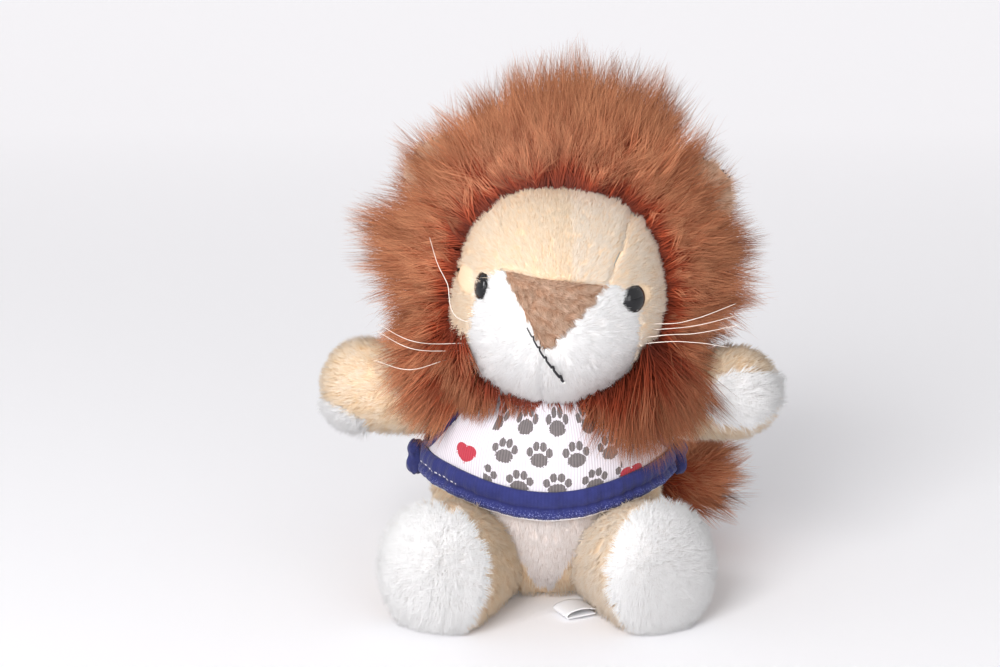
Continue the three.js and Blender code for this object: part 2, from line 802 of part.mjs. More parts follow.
function rod(radius, low, high) {
  const geometry = new THREE.CylinderGeometry(radius, radius, high - low, eyeSides);
  geometry.translate(0, (low + high) / 2, 0);
  return solidOf(geometry);
}

// A whisker's route, from shares of the head's half sizes
function whiskerCurve(route) {
  const half = new THREE.Vector3(headHalfWidth, headHalfDepth, headHalfHeight);
  return new THREE.CatmullRomCurve3(route.map((shares) => new THREE.Vector3(...shares).multiply(half)));
}

function whiskerTube(route, radius) {
  return tube(whiskerCurve(route), radius, whiskerSides, whiskerSteps);
}

// The room that the whiskers need in what they pass through or in front of
const whiskerRoom = joined(whiskerRouteShares.map((route) => whiskerTube(route, whiskerRadius + whiskerHole)));

// The head's cloth panels, stuffing, eyes, mouth and whiskers
function addHead() {
  const neck = belowNeck(torsoHeight + gap);
  const frames = sides.map(eyeFrame);
  const bores = frames.map((frame) => {
    const bore = rod(shankRadius + gap, -shankLength, eyeDome);
    return bore.transform(frame.matrix.elements);
  });
  const pockets = frames.map((frame) => {
    const space = rod(washerRadius + gap, -washerDepth - washerThickness - gap, eyeDome);
    return space.add(rod(shankRadius + gap, -shankLength - gap, 0)).transform(frame.matrix.elements);
  });
  const shell = headBlob(0, headSides, headRows).subtract(headBlob(-skin, headSides, headRows))
    .subtract(neck).subtract(whiskerRoom).subtract(joined(bores));
  const far = headHalfDepth + overrun;
  const panel = (outline) => shell.intersect(frontPrism(outline, gap / 2, -far, -hairline - gap / 2));
  const { noseOutline, gusset, muzzle, cheek } = facePanels();
  addPiece(head, 'forehead_gusset', panel(gusset), cream);
  addPiece(head, 'nose_patch', panel(noseOutline), tan);
  sides.forEach((side, i) => {
    addPiece(head, `muzzle_${sideNames[i]}`, panel(mirrored(muzzle, side)), white);
    addPiece(head, `cheek_${sideNames[i]}`, panel(mirrored(cheek, side)), cream);
  });
  const behind = box(new THREE.Vector3(-far, -hairline + gap / 2, -far), new THREE.Vector3(far, far, far));
  addPiece(head, 'head_back', shell.intersect(behind), rust);
  const core = headBlob(-skin - gap, headSides, headRows).subtract(belowNeck(torsoHeight + 2 * gap));
  addPiece(head, 'head_stuffing', core.subtract(whiskerRoom).subtract(joined(pockets)), fill);
  sides.forEach((side, i) => addEye(frames[i], sideNames[i]));
  addMouth();
  whiskerRouteShares.forEach((route, i) => {
    addPiece(head, `whisker_${whiskerNames[i]}`, whiskerTube(route, whiskerRadius), nylon);
  });
}

function addEye(frame, name) {
  head.add(frame);
  addPiece(frame, `eye_${name}`, turned(eyeProfile(), eyeSides), blackGloss);
  const disc = rod(washerRadius, -washerDepth - washerThickness, -washerDepth);
  addPiece(frame, `eye_washer_${name}`, disc.subtract(rod(shankRadius + gap, -overrun, 0)), clearPlastic);
}

function addMouth() {
  const points = [];
  for (const [from, to] of [[mouthStart, mouthBend], [mouthBend, mouthEnd]]) {
    for (let k = points.length ? 1 : 0; k <= stitchesPerLeg; k += 1) {
      const x = lerp(from[0], to[0], k / stitchesPerLeg);
      const z = lerp(from[1], to[1], k / stitchesPerLeg);
      points.push(onHead(x, z, threadLift));
    }
  }
  const thread = tube(new THREE.CatmullRomCurve3(points), threadRadius, threadSides, threadSteps);
  addPiece(head, 'mouth_stitch', thread, blackThread);
}

// An ear's layer: a cupped oval that stands out from the head, with its root at the cloth
function earLayer(side, from, to, grow) {
  const rings = [];
  for (const depth of [from - grow, to + grow]) {
    for (let k = 0; k < earRows; k += 1) {
      const level = depth === from - grow ? (k + 1) / earRows : (earRows - k) / earRows;
      const ring = [];
      for (let s = 0; s < earSides; s += 1) {
        const turn = -2 * Math.PI * s / earSides;
        const x = level * (earHalfWidth + grow) * Math.cos(turn);
        const z = level * (earHalfHeight + grow) * Math.sin(turn);
        ring.push(new THREE.Vector3(x, depth + earCup * level ** 2, z));
      }
      rings.push(ring);
    }
  }
  const solid = solidOf(ringGeometry(rings, false));
  const place = new THREE.Matrix4().makeRotationY(side * earAngle);
  place.multiply(new THREE.Matrix4().makeTranslation(0, earBack, earReach - earHalfHeight));
  return solid.transform(place.elements);
}

// The mane's whole form: an ellipsoid about the line from nape to face, drawn in or out to its outline
function maneForm() {
  const centre = new THREE.Vector3(0, maneBack, maneRise);
  const rings = [];
  for (let k = 1; k < maneRows; k += 1) {
    const lean = Math.PI * k / maneRows;
    rings.push(maneOutlineShares.map((share, s) => {
      const turn = 2 * Math.PI * s / maneOutlineShares.length;
      const reach = share * Math.sin(lean);
      const x = maneHalfWidth * reach * Math.cos(turn);
      const z = maneHalfHeight * reach * Math.sin(turn);
      return new THREE.Vector3(x, maneHalfDepth * Math.cos(lean), z).add(centre);
    }));
  }
  return solidOf(ringGeometry(rings, false));
}

// The mane in four parts, with the beard below the chin
function addMane() {
  const whole = maneForm();
  const cone = new THREE.CylinderGeometry(faceOpening, headHalfWidth - gap, overrun, headSides);
  cone.rotateX(Math.PI / 2);
  cone.rotateZ(Math.PI);
  cone.rotateX(Math.PI);
  cone.translate(0, -hairline - overrun / 2, 0);
  const far = 2 * maneHalfHeight;
  const ears = sides.map((side) => earLayer(side, 0, 2 * earThickness + gap, gap));
  const hair = whole.subtract(headBlob(gap, headSides, headRows)).subtract(solidOf(cone))
    .subtract(joined(ears)).subtract(whiskerRoom);
  const split = earBack - gap;
  const front = box(new THREE.Vector3(-far, -far, -far), new THREE.Vector3(far, split - gap / 2, far))
    .subtract(belowNeck(torsoHeight + jawSplit));
  const back = box(new THREE.Vector3(-far, split + gap / 2, -far), new THREE.Vector3(far, far, far))
    .subtract(belowNeck(torsoHeight + 2 * gap)).subtract(armNotches());
  const edge = far * Math.tan(crownHalfAngle);
  const crown = [[0, 0], [edge, far], [-edge, far]];
  const flank = [[0, 0], [0, -far], [far, -far], [far, far], [edge, far]];
  const cut = (outline) => hair.intersect(front).intersect(frontPrism(outline, gap / 2, -far, far));
  addPiece(head, 'mane_crown', cut(crown), rust);
  sides.forEach((side, i) => addPiece(head, `mane_${sideNames[i]}`, cut(mirrored(flank, side)), rust));
  addPiece(head, 'mane_back', hair.intersect(back), rust);
  addPiece(head, 'mane_beard', beard(), rust);
  sides.forEach((side, i) => {
    const skull = headBlob(gap, headSides, headRows);
    const lining = earLayer(side, 0, earThickness, 0).subtract(skull);
    const backing = earLayer(side, earThickness + gap, 2 * earThickness + gap, 0).subtract(skull);
    addPiece(head, `ear_lining_${sideNames[i]}`, lining, tan);
    addPiece(head, `ear_back_${sideNames[i]}`, backing, tan);
  });
}

// The room over each arm that the mane leaves free, whichever way the head is turned
function armNotches() {
  const wide = 2 * maneHalfWidth;
  const spread = degToRad(headSwing) + Math.atan2(armRadius + skin, shoulderAside);
  const outline = [
    [armNotchInner, -armNotchInner * Math.tan(spread)], [wide, -wide * Math.tan(spread)],
    [wide, wide * Math.tan(spread)], [armNotchInner, armNotchInner * Math.tan(spread)],
  ];
  const notches = sides.map((side) => {
    const shape = new THREE.Shape(outline.map(([x, y]) => new THREE.Vector2(side * x, y)));
    const geometry = new THREE.ExtrudeGeometry(shape, { depth: torsoHeight + jawSplit, bevelEnabled: false });
    geometry.translate(headCentre.x, headCentre.y, 0);
    return solidOf(geometry);
  });
  return notches[0].add(notches[1]).transform(head.matrix.clone().invert().elements);
}

function beard() {
  const toHead = head.matrix.clone().invert();
  const centre = new THREE.Vector3(headSide, -headFront - beardFront, headCentre.z - beardDrop);
  const blob = ellipsoid(beardHalfWidth, beardHalfDepth, beardHalfHeight, centre, beardSides, beardRows);
  const shirtOuter = wearGap + knit + gap + bandThickness;
  const dressed = torsoSolid(shirtOuter + wearGap, 0, torsoHeight + gap, beardSides, torsoRows);
  const clear = swept(dressed, headCentre, up, -headSwing, headSwing, sweepSteps);
  const wide = 4 * headHalfWidth;
  const top = torsoHeight + jawSplit - gap;
  const above = box(new THREE.Vector3(-wide, -wide, top), new THREE.Vector3(wide, wide, 2 * wide));
  const hanging = blob.subtract(clear).subtract(above).transform(toHead.elements);
  const split = earBack - gap;
  const rear = box(new THREE.Vector3(-wide, split - gap / 2, -wide), new THREE.Vector3(wide, wide, wide));
  const face = box(new THREE.Vector3(-wide, -wide, -chinLine), new THREE.Vector3(wide, -hairline, wide));
  return hanging.subtract(headBlob(gap, headSides, headRows)).subtract(rear).subtract(face)
    .subtract(armNotches());
}

// Label
function addLabel() {
  const outer = labelFold / 2;
  const inner = outer - ribbon;
  const outline = new THREE.Shape();
  outline.moveTo(0, outer);
  outline.lineTo(labelLength - outer, outer);
  outline.absarc(labelLength - outer, 0, outer, Math.PI / 2, -Math.PI / 2, true);
  outline.lineTo(0, -outer);
  outline.lineTo(0, -inner);
  outline.lineTo(labelLength - outer, -inner);
  outline.absarc(labelLength - outer, 0, inner, -Math.PI / 2, Math.PI / 2, false);
  outline.lineTo(0, inner);
  const geometry = new THREE.ExtrudeGeometry(outline, {
    depth: labelWidth, bevelEnabled: false, curveSegments: labelArcs,
  });
  geometry.translate(0, 0, -labelWidth / 2);
  geometry.rotateX(Math.PI / 2);
  const group = new THREE.Group();
  const leg = legs[0];
  const root = new THREE.Vector3(labelAlong, 0, 0).applyMatrix4(leg.matrix);
  const share = (2 * labelAlong - legReach + legRoot) / (legReach + legRoot);
  const fullness = fullnessAt(legShape, share);
  const drop = (root.z - labelUp - outer) / (legHalfHeight * fullness);
  const aside = legHalfWidth * fullness * Math.cos(Math.PI / limbSides) * Math.sqrt(1 - drop ** 2) + gap;
  const inwards = Math.PI + legSplay;
  group.position.set(root.x + aside * Math.cos(inwards), root.y + aside * Math.sin(inwards), labelUp);
  group.rotation.set(0, 0, inwards);
  lion.add(group);
  addPiece(group, 'label', solidOf(geometry), ribbonWhite);
}

addTorso();
sides.forEach((side, i) => {
  addArm(i);
  addLeg(i);
});
addTail();
addShirt();
addHead();
addMane();
addLabel();
lion.name = 'plush_lion';

export default lion;
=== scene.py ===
import math

import bmesh
import bpy
import numpy as np
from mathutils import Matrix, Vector


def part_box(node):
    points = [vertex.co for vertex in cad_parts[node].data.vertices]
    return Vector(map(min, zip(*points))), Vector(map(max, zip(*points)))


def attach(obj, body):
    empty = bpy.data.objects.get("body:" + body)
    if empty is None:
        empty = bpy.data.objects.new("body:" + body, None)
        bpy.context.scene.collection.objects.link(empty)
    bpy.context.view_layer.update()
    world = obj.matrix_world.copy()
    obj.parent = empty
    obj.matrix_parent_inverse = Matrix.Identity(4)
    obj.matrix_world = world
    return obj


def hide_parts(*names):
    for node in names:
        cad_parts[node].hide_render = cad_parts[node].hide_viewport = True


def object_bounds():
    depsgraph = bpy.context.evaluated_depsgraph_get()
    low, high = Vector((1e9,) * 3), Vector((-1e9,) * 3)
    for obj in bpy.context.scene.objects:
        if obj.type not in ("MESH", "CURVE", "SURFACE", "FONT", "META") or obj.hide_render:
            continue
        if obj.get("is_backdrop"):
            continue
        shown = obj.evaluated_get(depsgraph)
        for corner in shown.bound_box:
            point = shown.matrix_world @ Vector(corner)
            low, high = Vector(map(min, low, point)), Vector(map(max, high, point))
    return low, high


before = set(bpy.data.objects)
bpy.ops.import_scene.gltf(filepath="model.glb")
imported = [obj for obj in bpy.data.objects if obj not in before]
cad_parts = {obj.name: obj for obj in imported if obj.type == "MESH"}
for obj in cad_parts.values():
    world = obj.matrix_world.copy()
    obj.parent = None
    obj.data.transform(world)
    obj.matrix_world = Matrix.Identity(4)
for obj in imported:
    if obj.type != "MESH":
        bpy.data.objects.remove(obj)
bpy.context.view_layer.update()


# Torso stuffing and cloth
# A pear of loose polyester fibre in a bag of cream plush, sewn from curved panels.
# The cloth's backing lies under the pile, and each hair of the pile is fixed in it.
torso_height = 0.076
torso_half_width = 0.042
torso_half_depth = 0.037
torso_lean_side = 0.0015
torso_lean_front = 0.011
backing_depth = 0.0024
panel_lift = 0.0004
filling_depth = 0.0036
cream_shades = ((242, 214, 184), (246, 228, 207), (250, 238, 226))
# The cream's darker, warmer end: a random tint of the pile, and painted shade on the legs' inner sides.
cream_tint_and_shade = (0.92, 0.78, 0.58, 1.0)


def tone(red, green, blue):
    """A colour as a screen shows it, 0 to 255, in linear light: ((c + 0.055) / 1.055) to the power 2.4."""
    share = np.array([red, green, blue]) / 255
    light = np.where(share <= 0.04045, share / 12.92, ((share + 0.055) / 1.055) ** 2.4)
    return (*light, 1.0)


class Socket:
    """A socket of a material. Arithmetic on it adds Math nodes, and node() adds any other one."""

    def __init__(self, tree, socket=None):
        self.tree = tree
        self.socket = socket

    def node(self, kind, inputs, out=0, stops=None, **settings):
        made = self.tree.nodes.new(kind)
        for name, value in settings.items():
            setattr(made, name, value)
        if stops:
            ramp = made.color_ramp
            while len(ramp.elements) < len(stops):
                ramp.elements.new(0.5)
            for element, (place, colour) in zip(ramp.elements, stops):
                element.position = place
                element.color = colour
        for name, value in inputs.items():
            self.tree.nodes.active = made
            if isinstance(value, Socket):
                self.tree.links.new(value.socket, made.inputs[name])
            else:
                made.inputs[name].default_value = value
        return Socket(self.tree, made.outputs[out])

    def math(self, operation, first, second=0.0):
        return self.node("ShaderNodeMath", {0: first, 1: second}, operation=operation)

    def mix(self, share, first, second, blend="MIX"):
        inputs = {0: share, 6: first, 7: second}
        return self.node("ShaderNodeMix", inputs, out=2, data_type="RGBA", blend_type=blend)

    def split(self, kind, **settings):
        """The first two parts of a coordinate: of a UV map, the shares across and along the form."""
        apart = self.node("ShaderNodeSeparateXYZ", {0: self.node(kind, {}, **settings)})
        return apart, Socket(self.tree, apart.socket.node.outputs[1])

    def uv(self):
        return self.split("ShaderNodeUVMap", uv_map="OFBake")

    def noise(self, scale, detail=2.0):
        place = self.node("ShaderNodeTexCoord", {}, out=3)
        return self.node("ShaderNodeTexNoise", {"Vector": place, "Scale": scale, "Detail": detail})

    def ridges(self, across, count):
        """A sine wave from 0 to 1, so many times across."""
        return self.math("SINE", across * (2 * math.pi * count)) * 0.5 + 0.5

    def to(self, shader, name="Base Color"):
        self.tree.links.new(self.socket, shader.inputs[name])

    def bumps(self, shader, strength, distance):
        bump = self.node("ShaderNodeBump", {"Height": self, "Strength": strength, "Distance": distance})
        bump.to(shader, "Normal")

    def __add__(self, other):
        return self.math("ADD", self, other)

    def __sub__(self, other):
        return self.math("SUBTRACT", self, other)

    def __rsub__(self, other):
        return self.math("SUBTRACT", other, self)

    def __mul__(self, other):
        return self.math("MULTIPLY", self, other)

    def __truediv__(self, other):
        return self.math("DIVIDE", self, other)

    def __pow__(self, other):
        return self.math("POWER", self, other)

    __radd__ = __add__
    __rmul__ = __mul__


def material(name, **fixed):
    """A material whose main shader has these fixed values, with its tree and shader for what varies."""
    made = bpy.data.materials.new(name)
    made.use_nodes = True
    shader = made.node_tree.nodes["Principled BSDF"]
    for key, value in fixed.items():
        shader.inputs[key.replace("_", " ")].default_value = value
    return made, Socket(made.node_tree), shader


def speckled_material(name, scale, first, second, **fixed):
    """A plain finish that drifts between two tones, by noise of a scale."""
    made, tree, shader = material(name, **fixed)
    tree.mix(tree.noise(scale), tone(*first), tone(*second)).to(shader)
    return made


def plush_material(name, shades, dark, roughness=0.9, sheen=0.0):
    """Colour along a hair from root to tip, times a shade of the hair's own. Both come from its UV map."""
    made, tree, shader = material(name, Roughness=roughness, Sheen_Weight=sheen, Specular_IOR_Level=0.2)
    apart, along = tree.uv()
    root, middle, tip = (tone(*shade) for shade in shades)
    # Painted shade, in part: the roots are darker than the tips, for the shade deep in the pile as well as
    # the hair's own colour.
    colour = tree.node("ShaderNodeValToRGB", {0: along}, stops=[(0.0, root), (0.45, middle), (1.0, tip)])
    own = tree.node("ShaderNodeValToRGB", {0: apart}, stops=[(0.0, dark), (1.0, (1.0, 1.0, 1.0, 1.0))])
    tree.mix(1.0, colour, own, blend="MULTIPLY").to(shader)
    return made


def unit(vectors):
    return vectors / np.maximum(np.linalg.norm(vectors, axis=-1, keepdims=True), 1e-12)


def grid(*parts):
    """Points whose coordinates are these arrays, stretched to one shape."""
    return np.stack(np.broadcast_arrays(*parts), -1)


def full_turn(count):
    """So many angles from zero to a full turn, along a row."""
    return np.linspace(0, 2 * math.pi, count)[None, :]


def backing(patch, across=False):
    """A patch of points, rows by columns, as corners, triangles, UV and normals. The UV is one place in the
    middle of a pile's shades, or runs across the patch."""
    rows, columns = patch.shape[:2]
    ids = np.arange(rows * columns).reshape(rows, columns)
    a, b, c, d = ids[:-1, :-1], ids[:-1, 1:], ids[1:, 1:], ids[1:, :-1]
    faces = np.concatenate([np.stack([a, b, c], -1).reshape(-1, 3), np.stack([a, c, d], -1).reshape(-1, 3)])
    uv = np.tile(np.array([[0.4, 0.3], [0.6, 0.3], [0.5, 0.34]]), (len(faces), 1, 1))
    if across:
        s, t = np.meshgrid(np.linspace(0, 1, columns), np.linspace(0, 1, rows))
        uv = np.stack([s.ravel(), t.ravel()], -1)[faces]
    normals = unit(np.cross(np.gradient(patch, axis=1), np.gradient(patch, axis=0))).reshape(-1, 3)
    return patch.reshape(-1, 3), faces, uv, normals


def facing_out(patch, centre):
    """The patch with its columns in the order that makes its normals point away from a place."""
    across = np.gradient(patch, axis=1)
    down = np.gradient(patch, axis=0)
    outward = (np.cross(across, down) * (patch - centre)).sum()
    return patch if outward > 0 else patch[:, ::-1]


def on_patch(patch, s, t):
    """Points at shares s and t of a patch, and the unit normals there, from the four nearest grid points."""
    rows, columns = patch.shape[:2]
    x = np.clip(s * (columns - 1), 0, columns - 1.001)
    y = np.clip(t * (rows - 1), 0, rows - 1.001)
    i, j = y.astype(int), x.astype(int)
    fx, fy = (x - j)[:, None], (y - i)[:, None]
    p00, p01, p10, p11 = patch[i, j], patch[i, j + 1], patch[i + 1, j], patch[i + 1, j + 1]
    place = (p00 * (1 - fx) + p01 * fx) * (1 - fy) + (p10 * (1 - fx) + p11 * fx) * fy
    along_s = (p01 - p00) * (1 - fy) + (p11 - p10) * fy
    along_t = (p10 - p00) * (1 - fx) + (p11 - p01) * fx
    return place, unit(np.cross(along_s, along_t)), along_s * (columns - 1), along_t * (rows - 1)


def pile(patch, lean, seed, count, length, width, per_tuft=8, pull=0.5, stray=0.12, tuft_stray=0.15,
         rings=1, around=False, where=None, fit=None, lit=None, shade=None, even=0.12):
    """Hairs on a patch, as corners, triangles, UV and the normals that they are lit by.
    Tufts start at random points, even by area, and each tuft's hairs start round it. A hair runs
    root + L (d0 (t - t t / 2) + d1 t t / 2), from its first direction d0 to its last d1, is drawn to its
    tuft's middle hair by pull t t, and tapers as 1 - t to the power 1.6. U is the hair's shade, V is t."""
    rng = np.random.default_rng(seed)
    rows, columns = patch.shape[:2]
    edge_s = np.linalg.norm(np.diff(patch, axis=1), axis=2)
    edge_t = np.linalg.norm(np.diff(patch, axis=0), axis=2)
    area = (edge_s[:-1] + edge_s[1:]) * (edge_t[:, :-1] + edge_t[:, 1:]) / 4
    tufts = max(1, count // per_tuft)
    cells = rng.choice(area.size, tufts, p=(area / area.sum()).ravel())
    t0 = (cells // (columns - 1) + rng.random(tufts)) / (rows - 1)
    s0 = (cells % (columns - 1) + rng.random(tufts)) / (columns - 1)
    home, home_normal, step_s, step_t = on_patch(patch, s0, t0)
    reach = math.sqrt(area.sum() / tufts) * 0.62
    which = np.repeat(np.arange(tufts), per_tuft)
    offset = rng.normal(size=(len(which), 2)) * reach
    s = s0[which] + offset[:, 0] / np.maximum(np.linalg.norm(step_s, axis=1)[which], reach)
    t = t0[which] + offset[:, 1] / np.maximum(np.linalg.norm(step_t, axis=1)[which], reach)
    s = s % 1 if around else 1 - np.abs(1 - np.abs(s))
    t = 1 - np.abs(1 - np.abs(t))
    root, normal, _, _ = on_patch(patch, s, t)
    if where is not None:
        kept = where(root)
        which, root, normal = which[kept], root[kept], normal[kept]
    tuft_push = rng.normal(size=(tufts, 3)) * tuft_stray
    tuft_length = length * rng.uniform(1 - even, 1 + even, tufts)

    def path(start, out, push, size):
        first, last = lean(start, out)
        first = unit(first + push)
        last = unit(last + push * 1.6)
        if fit is not None:
            size = size / length * fit(start, unit(first + last))
        way = np.linspace(0, 1, rings + 1)[None, :, None]
        bend = size[:, None, None] * (first[:, None] * (way - way * way / 2) + last[:, None] * way * way / 2)
        return start[:, None] + bend, first, last

    middle, _, _ = path(home, home_normal, tuft_push, tuft_length)
    push = tuft_push[which] + rng.normal(size=root.shape) * stray
    own_length = tuft_length[which] * rng.uniform(0.85, 1.1, len(which))
    line, first, last = path(root, normal, push, own_length)
    way = np.linspace(0, 1, rings + 1)[None, :, None]
    loose = rng.random(len(which)) < 0.06
    drawn = np.where(loose, 0.0, pull * rng.uniform(0.6, 1.1, len(which)))[:, None, None]
    line = line + (middle[which] - line) * drawn * way ** 2
    line[..., 2] = np.maximum(line[..., 2], 0.0002)
    side = unit(np.cross(first + last, rng.normal(size=root.shape)))
    other = unit(np.cross(first + last, side))
    turn = np.arange(3) * 2 * math.pi / 3
    radius = width / 2 * (1 - np.linspace(0, 1, rings + 1)[:-1] ** 1.6)
    ring = side[:, None] * np.cos(turn)[None, :, None] + other[:, None] * np.sin(turn)[None, :, None]
    tube = line[:, :-1, None] + ring[:, None] * radius[None, :, None, None]
    corners = np.concatenate([tube.reshape(len(root), -1, 3), line[:, -1:]], axis=1)
    tip = 3 * rings
    one = [[0, 2, 1]]
    for k in range(rings - 1):
        for j in range(3):
            low, next_low = 3 * k + j, 3 * k + (j + 1) % 3
            one += [[low, next_low, next_low + 3], [low, next_low + 3, low + 3]]
    one += [[tip - 3 + j, tip - 3 + (j + 1) % 3, tip] for j in range(3)]
    one = np.array(one)
    faces = (one[None] + (np.arange(len(root)) * (tip + 1))[:, None, None]).reshape(-1, 3)
    tuft_shade = rng.random(tufts)[which]
    mine = 0.6 * tuft_shade + 0.4 * rng.random(len(which))
    if shade is not None:
        mine = np.clip(shade(root) + 0.35 * (mine - 0.5), 0, 1)
    u = np.concatenate([np.tile(np.arange(3) * 0.01, rings), [0.01]])
    v = np.concatenate([np.repeat(np.arange(rings) / rings, 3), [1.0]])
    corner_uv = grid(mine[:, None] * 0.97 + u, v)
    uv = corner_uv[:, one].reshape(-1, 3, 2)
    round_hair = np.concatenate([np.tile(ring, (1, rings, 1)), unit(first + last)[:, None]], axis=1)
    broad = normal[:, None] if lit is None else lit(corners)
    return corners.reshape(-1, 3), faces, uv, unit(broad + 0.35 * round_hair).reshape(-1, 3)


def piece(name, parts, finish, body, node, slot=None):
    """One object of several parts that rides on a body and stands for a CAD node. Its slot is not used.
    Pile is lit by its own normals."""
    starts = np.cumsum([0] + [len(part[0]) for part in parts])
    corners = np.concatenate([part[0] for part in parts]).astype(np.float32)
    faces = np.concatenate([part[1] + start for part, start in zip(parts, starts)]).astype(np.int32)
    uv = np.concatenate([part[2] for part in parts]).astype(np.float32)
    mesh = bpy.data.meshes.new(name)
    mesh.vertices.add(len(corners))
    mesh.vertices.foreach_set("co", corners.ravel())
    mesh.loops.add(faces.size)
    mesh.loops.foreach_set("vertex_index", faces.ravel())
    mesh.polygons.add(len(faces))
    mesh.polygons.foreach_set("loop_start", np.arange(0, faces.size, 3, dtype=np.int32))
    mesh.update(calc_edges=True)
    mesh.uv_layers.new(name="OFBake").data.foreach_set("uv", uv.ravel())
    mesh.validate()
    mesh.shade_smooth()
    if len(parts) > 1:
        mesh.normals_split_custom_set_from_vertices(np.concatenate([part[3] for part in parts]))
    mesh.materials.append(finish)
    made = bpy.data.objects.new(name, mesh)
    bpy.context.collection.objects.link(made)
    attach(made, body)
    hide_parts(node)
    slot or finish.name.split(".")[0]
    return made


def closed(made, reach=1e-6):
    """Joins the doubled corners at an object's seams and poles, and turns all its faces outwards."""
    shape = bmesh.new()
    shape.from_mesh(made.data)
    bmesh.ops.remove_doubles(shape, verts=shape.verts, dist=reach)
    bmesh.ops.dissolve_degenerate(shape, edges=shape.edges, dist=reach)
    bmesh.ops.recalc_face_normals(shape, faces=shape.faces)
    shape.to_mesh(made.data)
    shape.free()
    made.data.shade_smooth()
    return made


def plush(name, node, body, finish, patch, lean, seed, slot=None, **hairs):
    """A backing with the pile in it."""
    return piece(name, [backing(patch), pile(patch, lean, seed, **hairs)], finish, body, node, slot)


def solid(name, node, body, finish, form, slot=None):
    """A closed piece of one form, with its UV map from edge to edge."""
    return closed(piece(name, [backing(form, across=True)], finish, body, node, slot))


def torso_at(height):
    """Half width, half depth and centre at a height: a pear, 1 - 0.38 a cubed below its belly and 1 - 0.45 b
    to the fourth above it, where a and b are the shares of the way to its seat and to its neck."""
    share = np.clip(height / torso_height, 0, 1)
    low = 1 - 0.38 * np.maximum(0, (0.42 - share) / 0.42) ** 3
    high = 1 - 0.45 * np.maximum(0, (share - 0.42) / 0.58) ** 4
    wide, deep = torso_half_width * low * high, torso_half_depth * low * high
    return wide, deep, torso_lean_side * share, -torso_lean_front * share ** 2


def torso_points(turn, height, grow):
    wide, deep, x, y = torso_at(height)
    return grid(x + (wide + grow) * np.cos(turn), y + (deep + grow) * np.sin(turn), height)


def torso_form(grow, low, high):
    """The torso's surface grown by a distance, closed at seat and neck by rows that shrink to the middle."""
    turn = full_turn(73)
    rise = low + (high - low) * (1 - np.cos(np.linspace(0, math.pi, 30))) / 2
    wall = torso_points(turn, rise[:, None], grow)
    shrink = np.linspace(0, 1, 6)[:, None, None]
    ends = [wall[k].mean(0) + (wall[k] - wall[k].mean(0)) * shrink for k in (0, -1)]
    return np.concatenate([ends[0][:-1], wall, ends[1][::-1][1:]])


filling_material, tree, shader = material("stuffing_fibre", Roughness=1.0)
fibre_stops = [(0.3, tone(214, 214, 210)), (0.7, tone(246, 246, 243))]
tree.node("ShaderNodeValToRGB", {0: tree.noise(900.0, 4.0)}, stops=fibre_stops).to(shader)
cream_material = plush_material("cream_plush", cream_shades, cream_tint_and_shade)


def filling(name, node, body, form):
    """A closed stuffed form that stands for a stuffing node."""
    made = closed(piece(name, [backing(form)], filling_material, body, node, "stuffing"))
    return made


filling("torso_filling", "torso_stuffing", "torso", torso_form(-filling_depth, 0.002, torso_height - 0.001))


def tummy_half(height):
    """Half width of the tummy panel's shield at a height, through the points that its pattern has."""
    share = (0.052 - height) / 0.046
    return 0.025 * np.interp(share, [0, 0.3, 0.5, 0.76, 1], [1, 0.86, 0.62, 0.3, 0.1])


def bare_of_shirt(root):
    """Where the torso's pile shows: below the shirt, off the seat, and beside the tummy panel."""
    shield = (root[:, 1] < 0) & (np.abs(root[:, 0]) < tummy_half(root[:, 2]) - 0.0003) & (root[:, 2] > 0.006)
    return (root[:, 2] < 0.05) & (root[:, 2] > 0.0012) & ~shield


def combed(first, last, stand=(1.0, 0.5)):
    """A lean that is the same all over: a first and a last direction, each with a share of the normal."""
    def lean(root, normal):
        return stand[0] * normal + first, stand[1] * normal + last
    return lean


def downwards(strength):
    return combed(np.array([0, 0, -strength]), np.array([0, 0, -2 * strength]))


torso_patch = torso_form(-backing_depth, 0.0006, torso_height - 0.0004)
plush("torso_cloth", "torso_skin", "torso", cream_material, torso_patch, downwards(0.6), 11,
      count=31000, length=0.0034, width=0.00036, where=bare_of_shirt, around=True)


# Tummy panel
# A shield of smooth white plush, sewn into the front of the torso between the legs.
white_shades = ((246, 243, 241), (253, 252, 252), (255, 255, 255))
white_material = plush_material("white_plush", white_shades, (0.93, 0.92, 0.92, 1.0))


def tummy_form(grow):
    """The shield on the torso's front: x is s times the half width at height z, y is the torso's surface."""
    height = np.linspace(0.0525, 0.0062, 40)[:, None]
    across = np.linspace(-1, 1, 33)[None, :]
    wide, deep, x0, y0 = torso_at(height)
    x = across * tummy_half(height)
    y = y0 - (deep + grow) * np.sqrt(np.maximum(0, 1 - ((x - x0) / (wide + grow)) ** 2))
    return grid(x, y, height)[:, ::-1]


# Painted shade: the tummy's whites are greyer and warmer than the white plush, for the shade that the shirt
# and legs cast on it.
tummy_shaded_tones = ((226, 212, 206), (240, 230, 226), (248, 242, 240))
tummy_shaded_material = plush_material("tummy_plush_shaded", tummy_shaded_tones, (0.93, 0.9, 0.88, 1.0))
plush("tummy_cloth", "tummy_panel", "torso", tummy_shaded_material, tummy_form(-backing_depth + panel_lift),
      downwards(0.9), 12, slot="white_plush", count=9000, length=0.0030, width=0.00034, stray=0.08)


# Legs
# Two stuffed tubes of cream plush, flat where they lie, each closed by an oval sole of fluffy white plush.
# The sole is sewn round its rim, so the pile stands out over the seam.
leg_reach, leg_root = 0.050, 0.013
leg_half_width, leg_half_height = 0.0195, 0.022
hip = (0.0195, -0.015, 0.0145)
leg_splay, leg_rise = math.radians(27), math.radians(8)
sole_start = 0.041
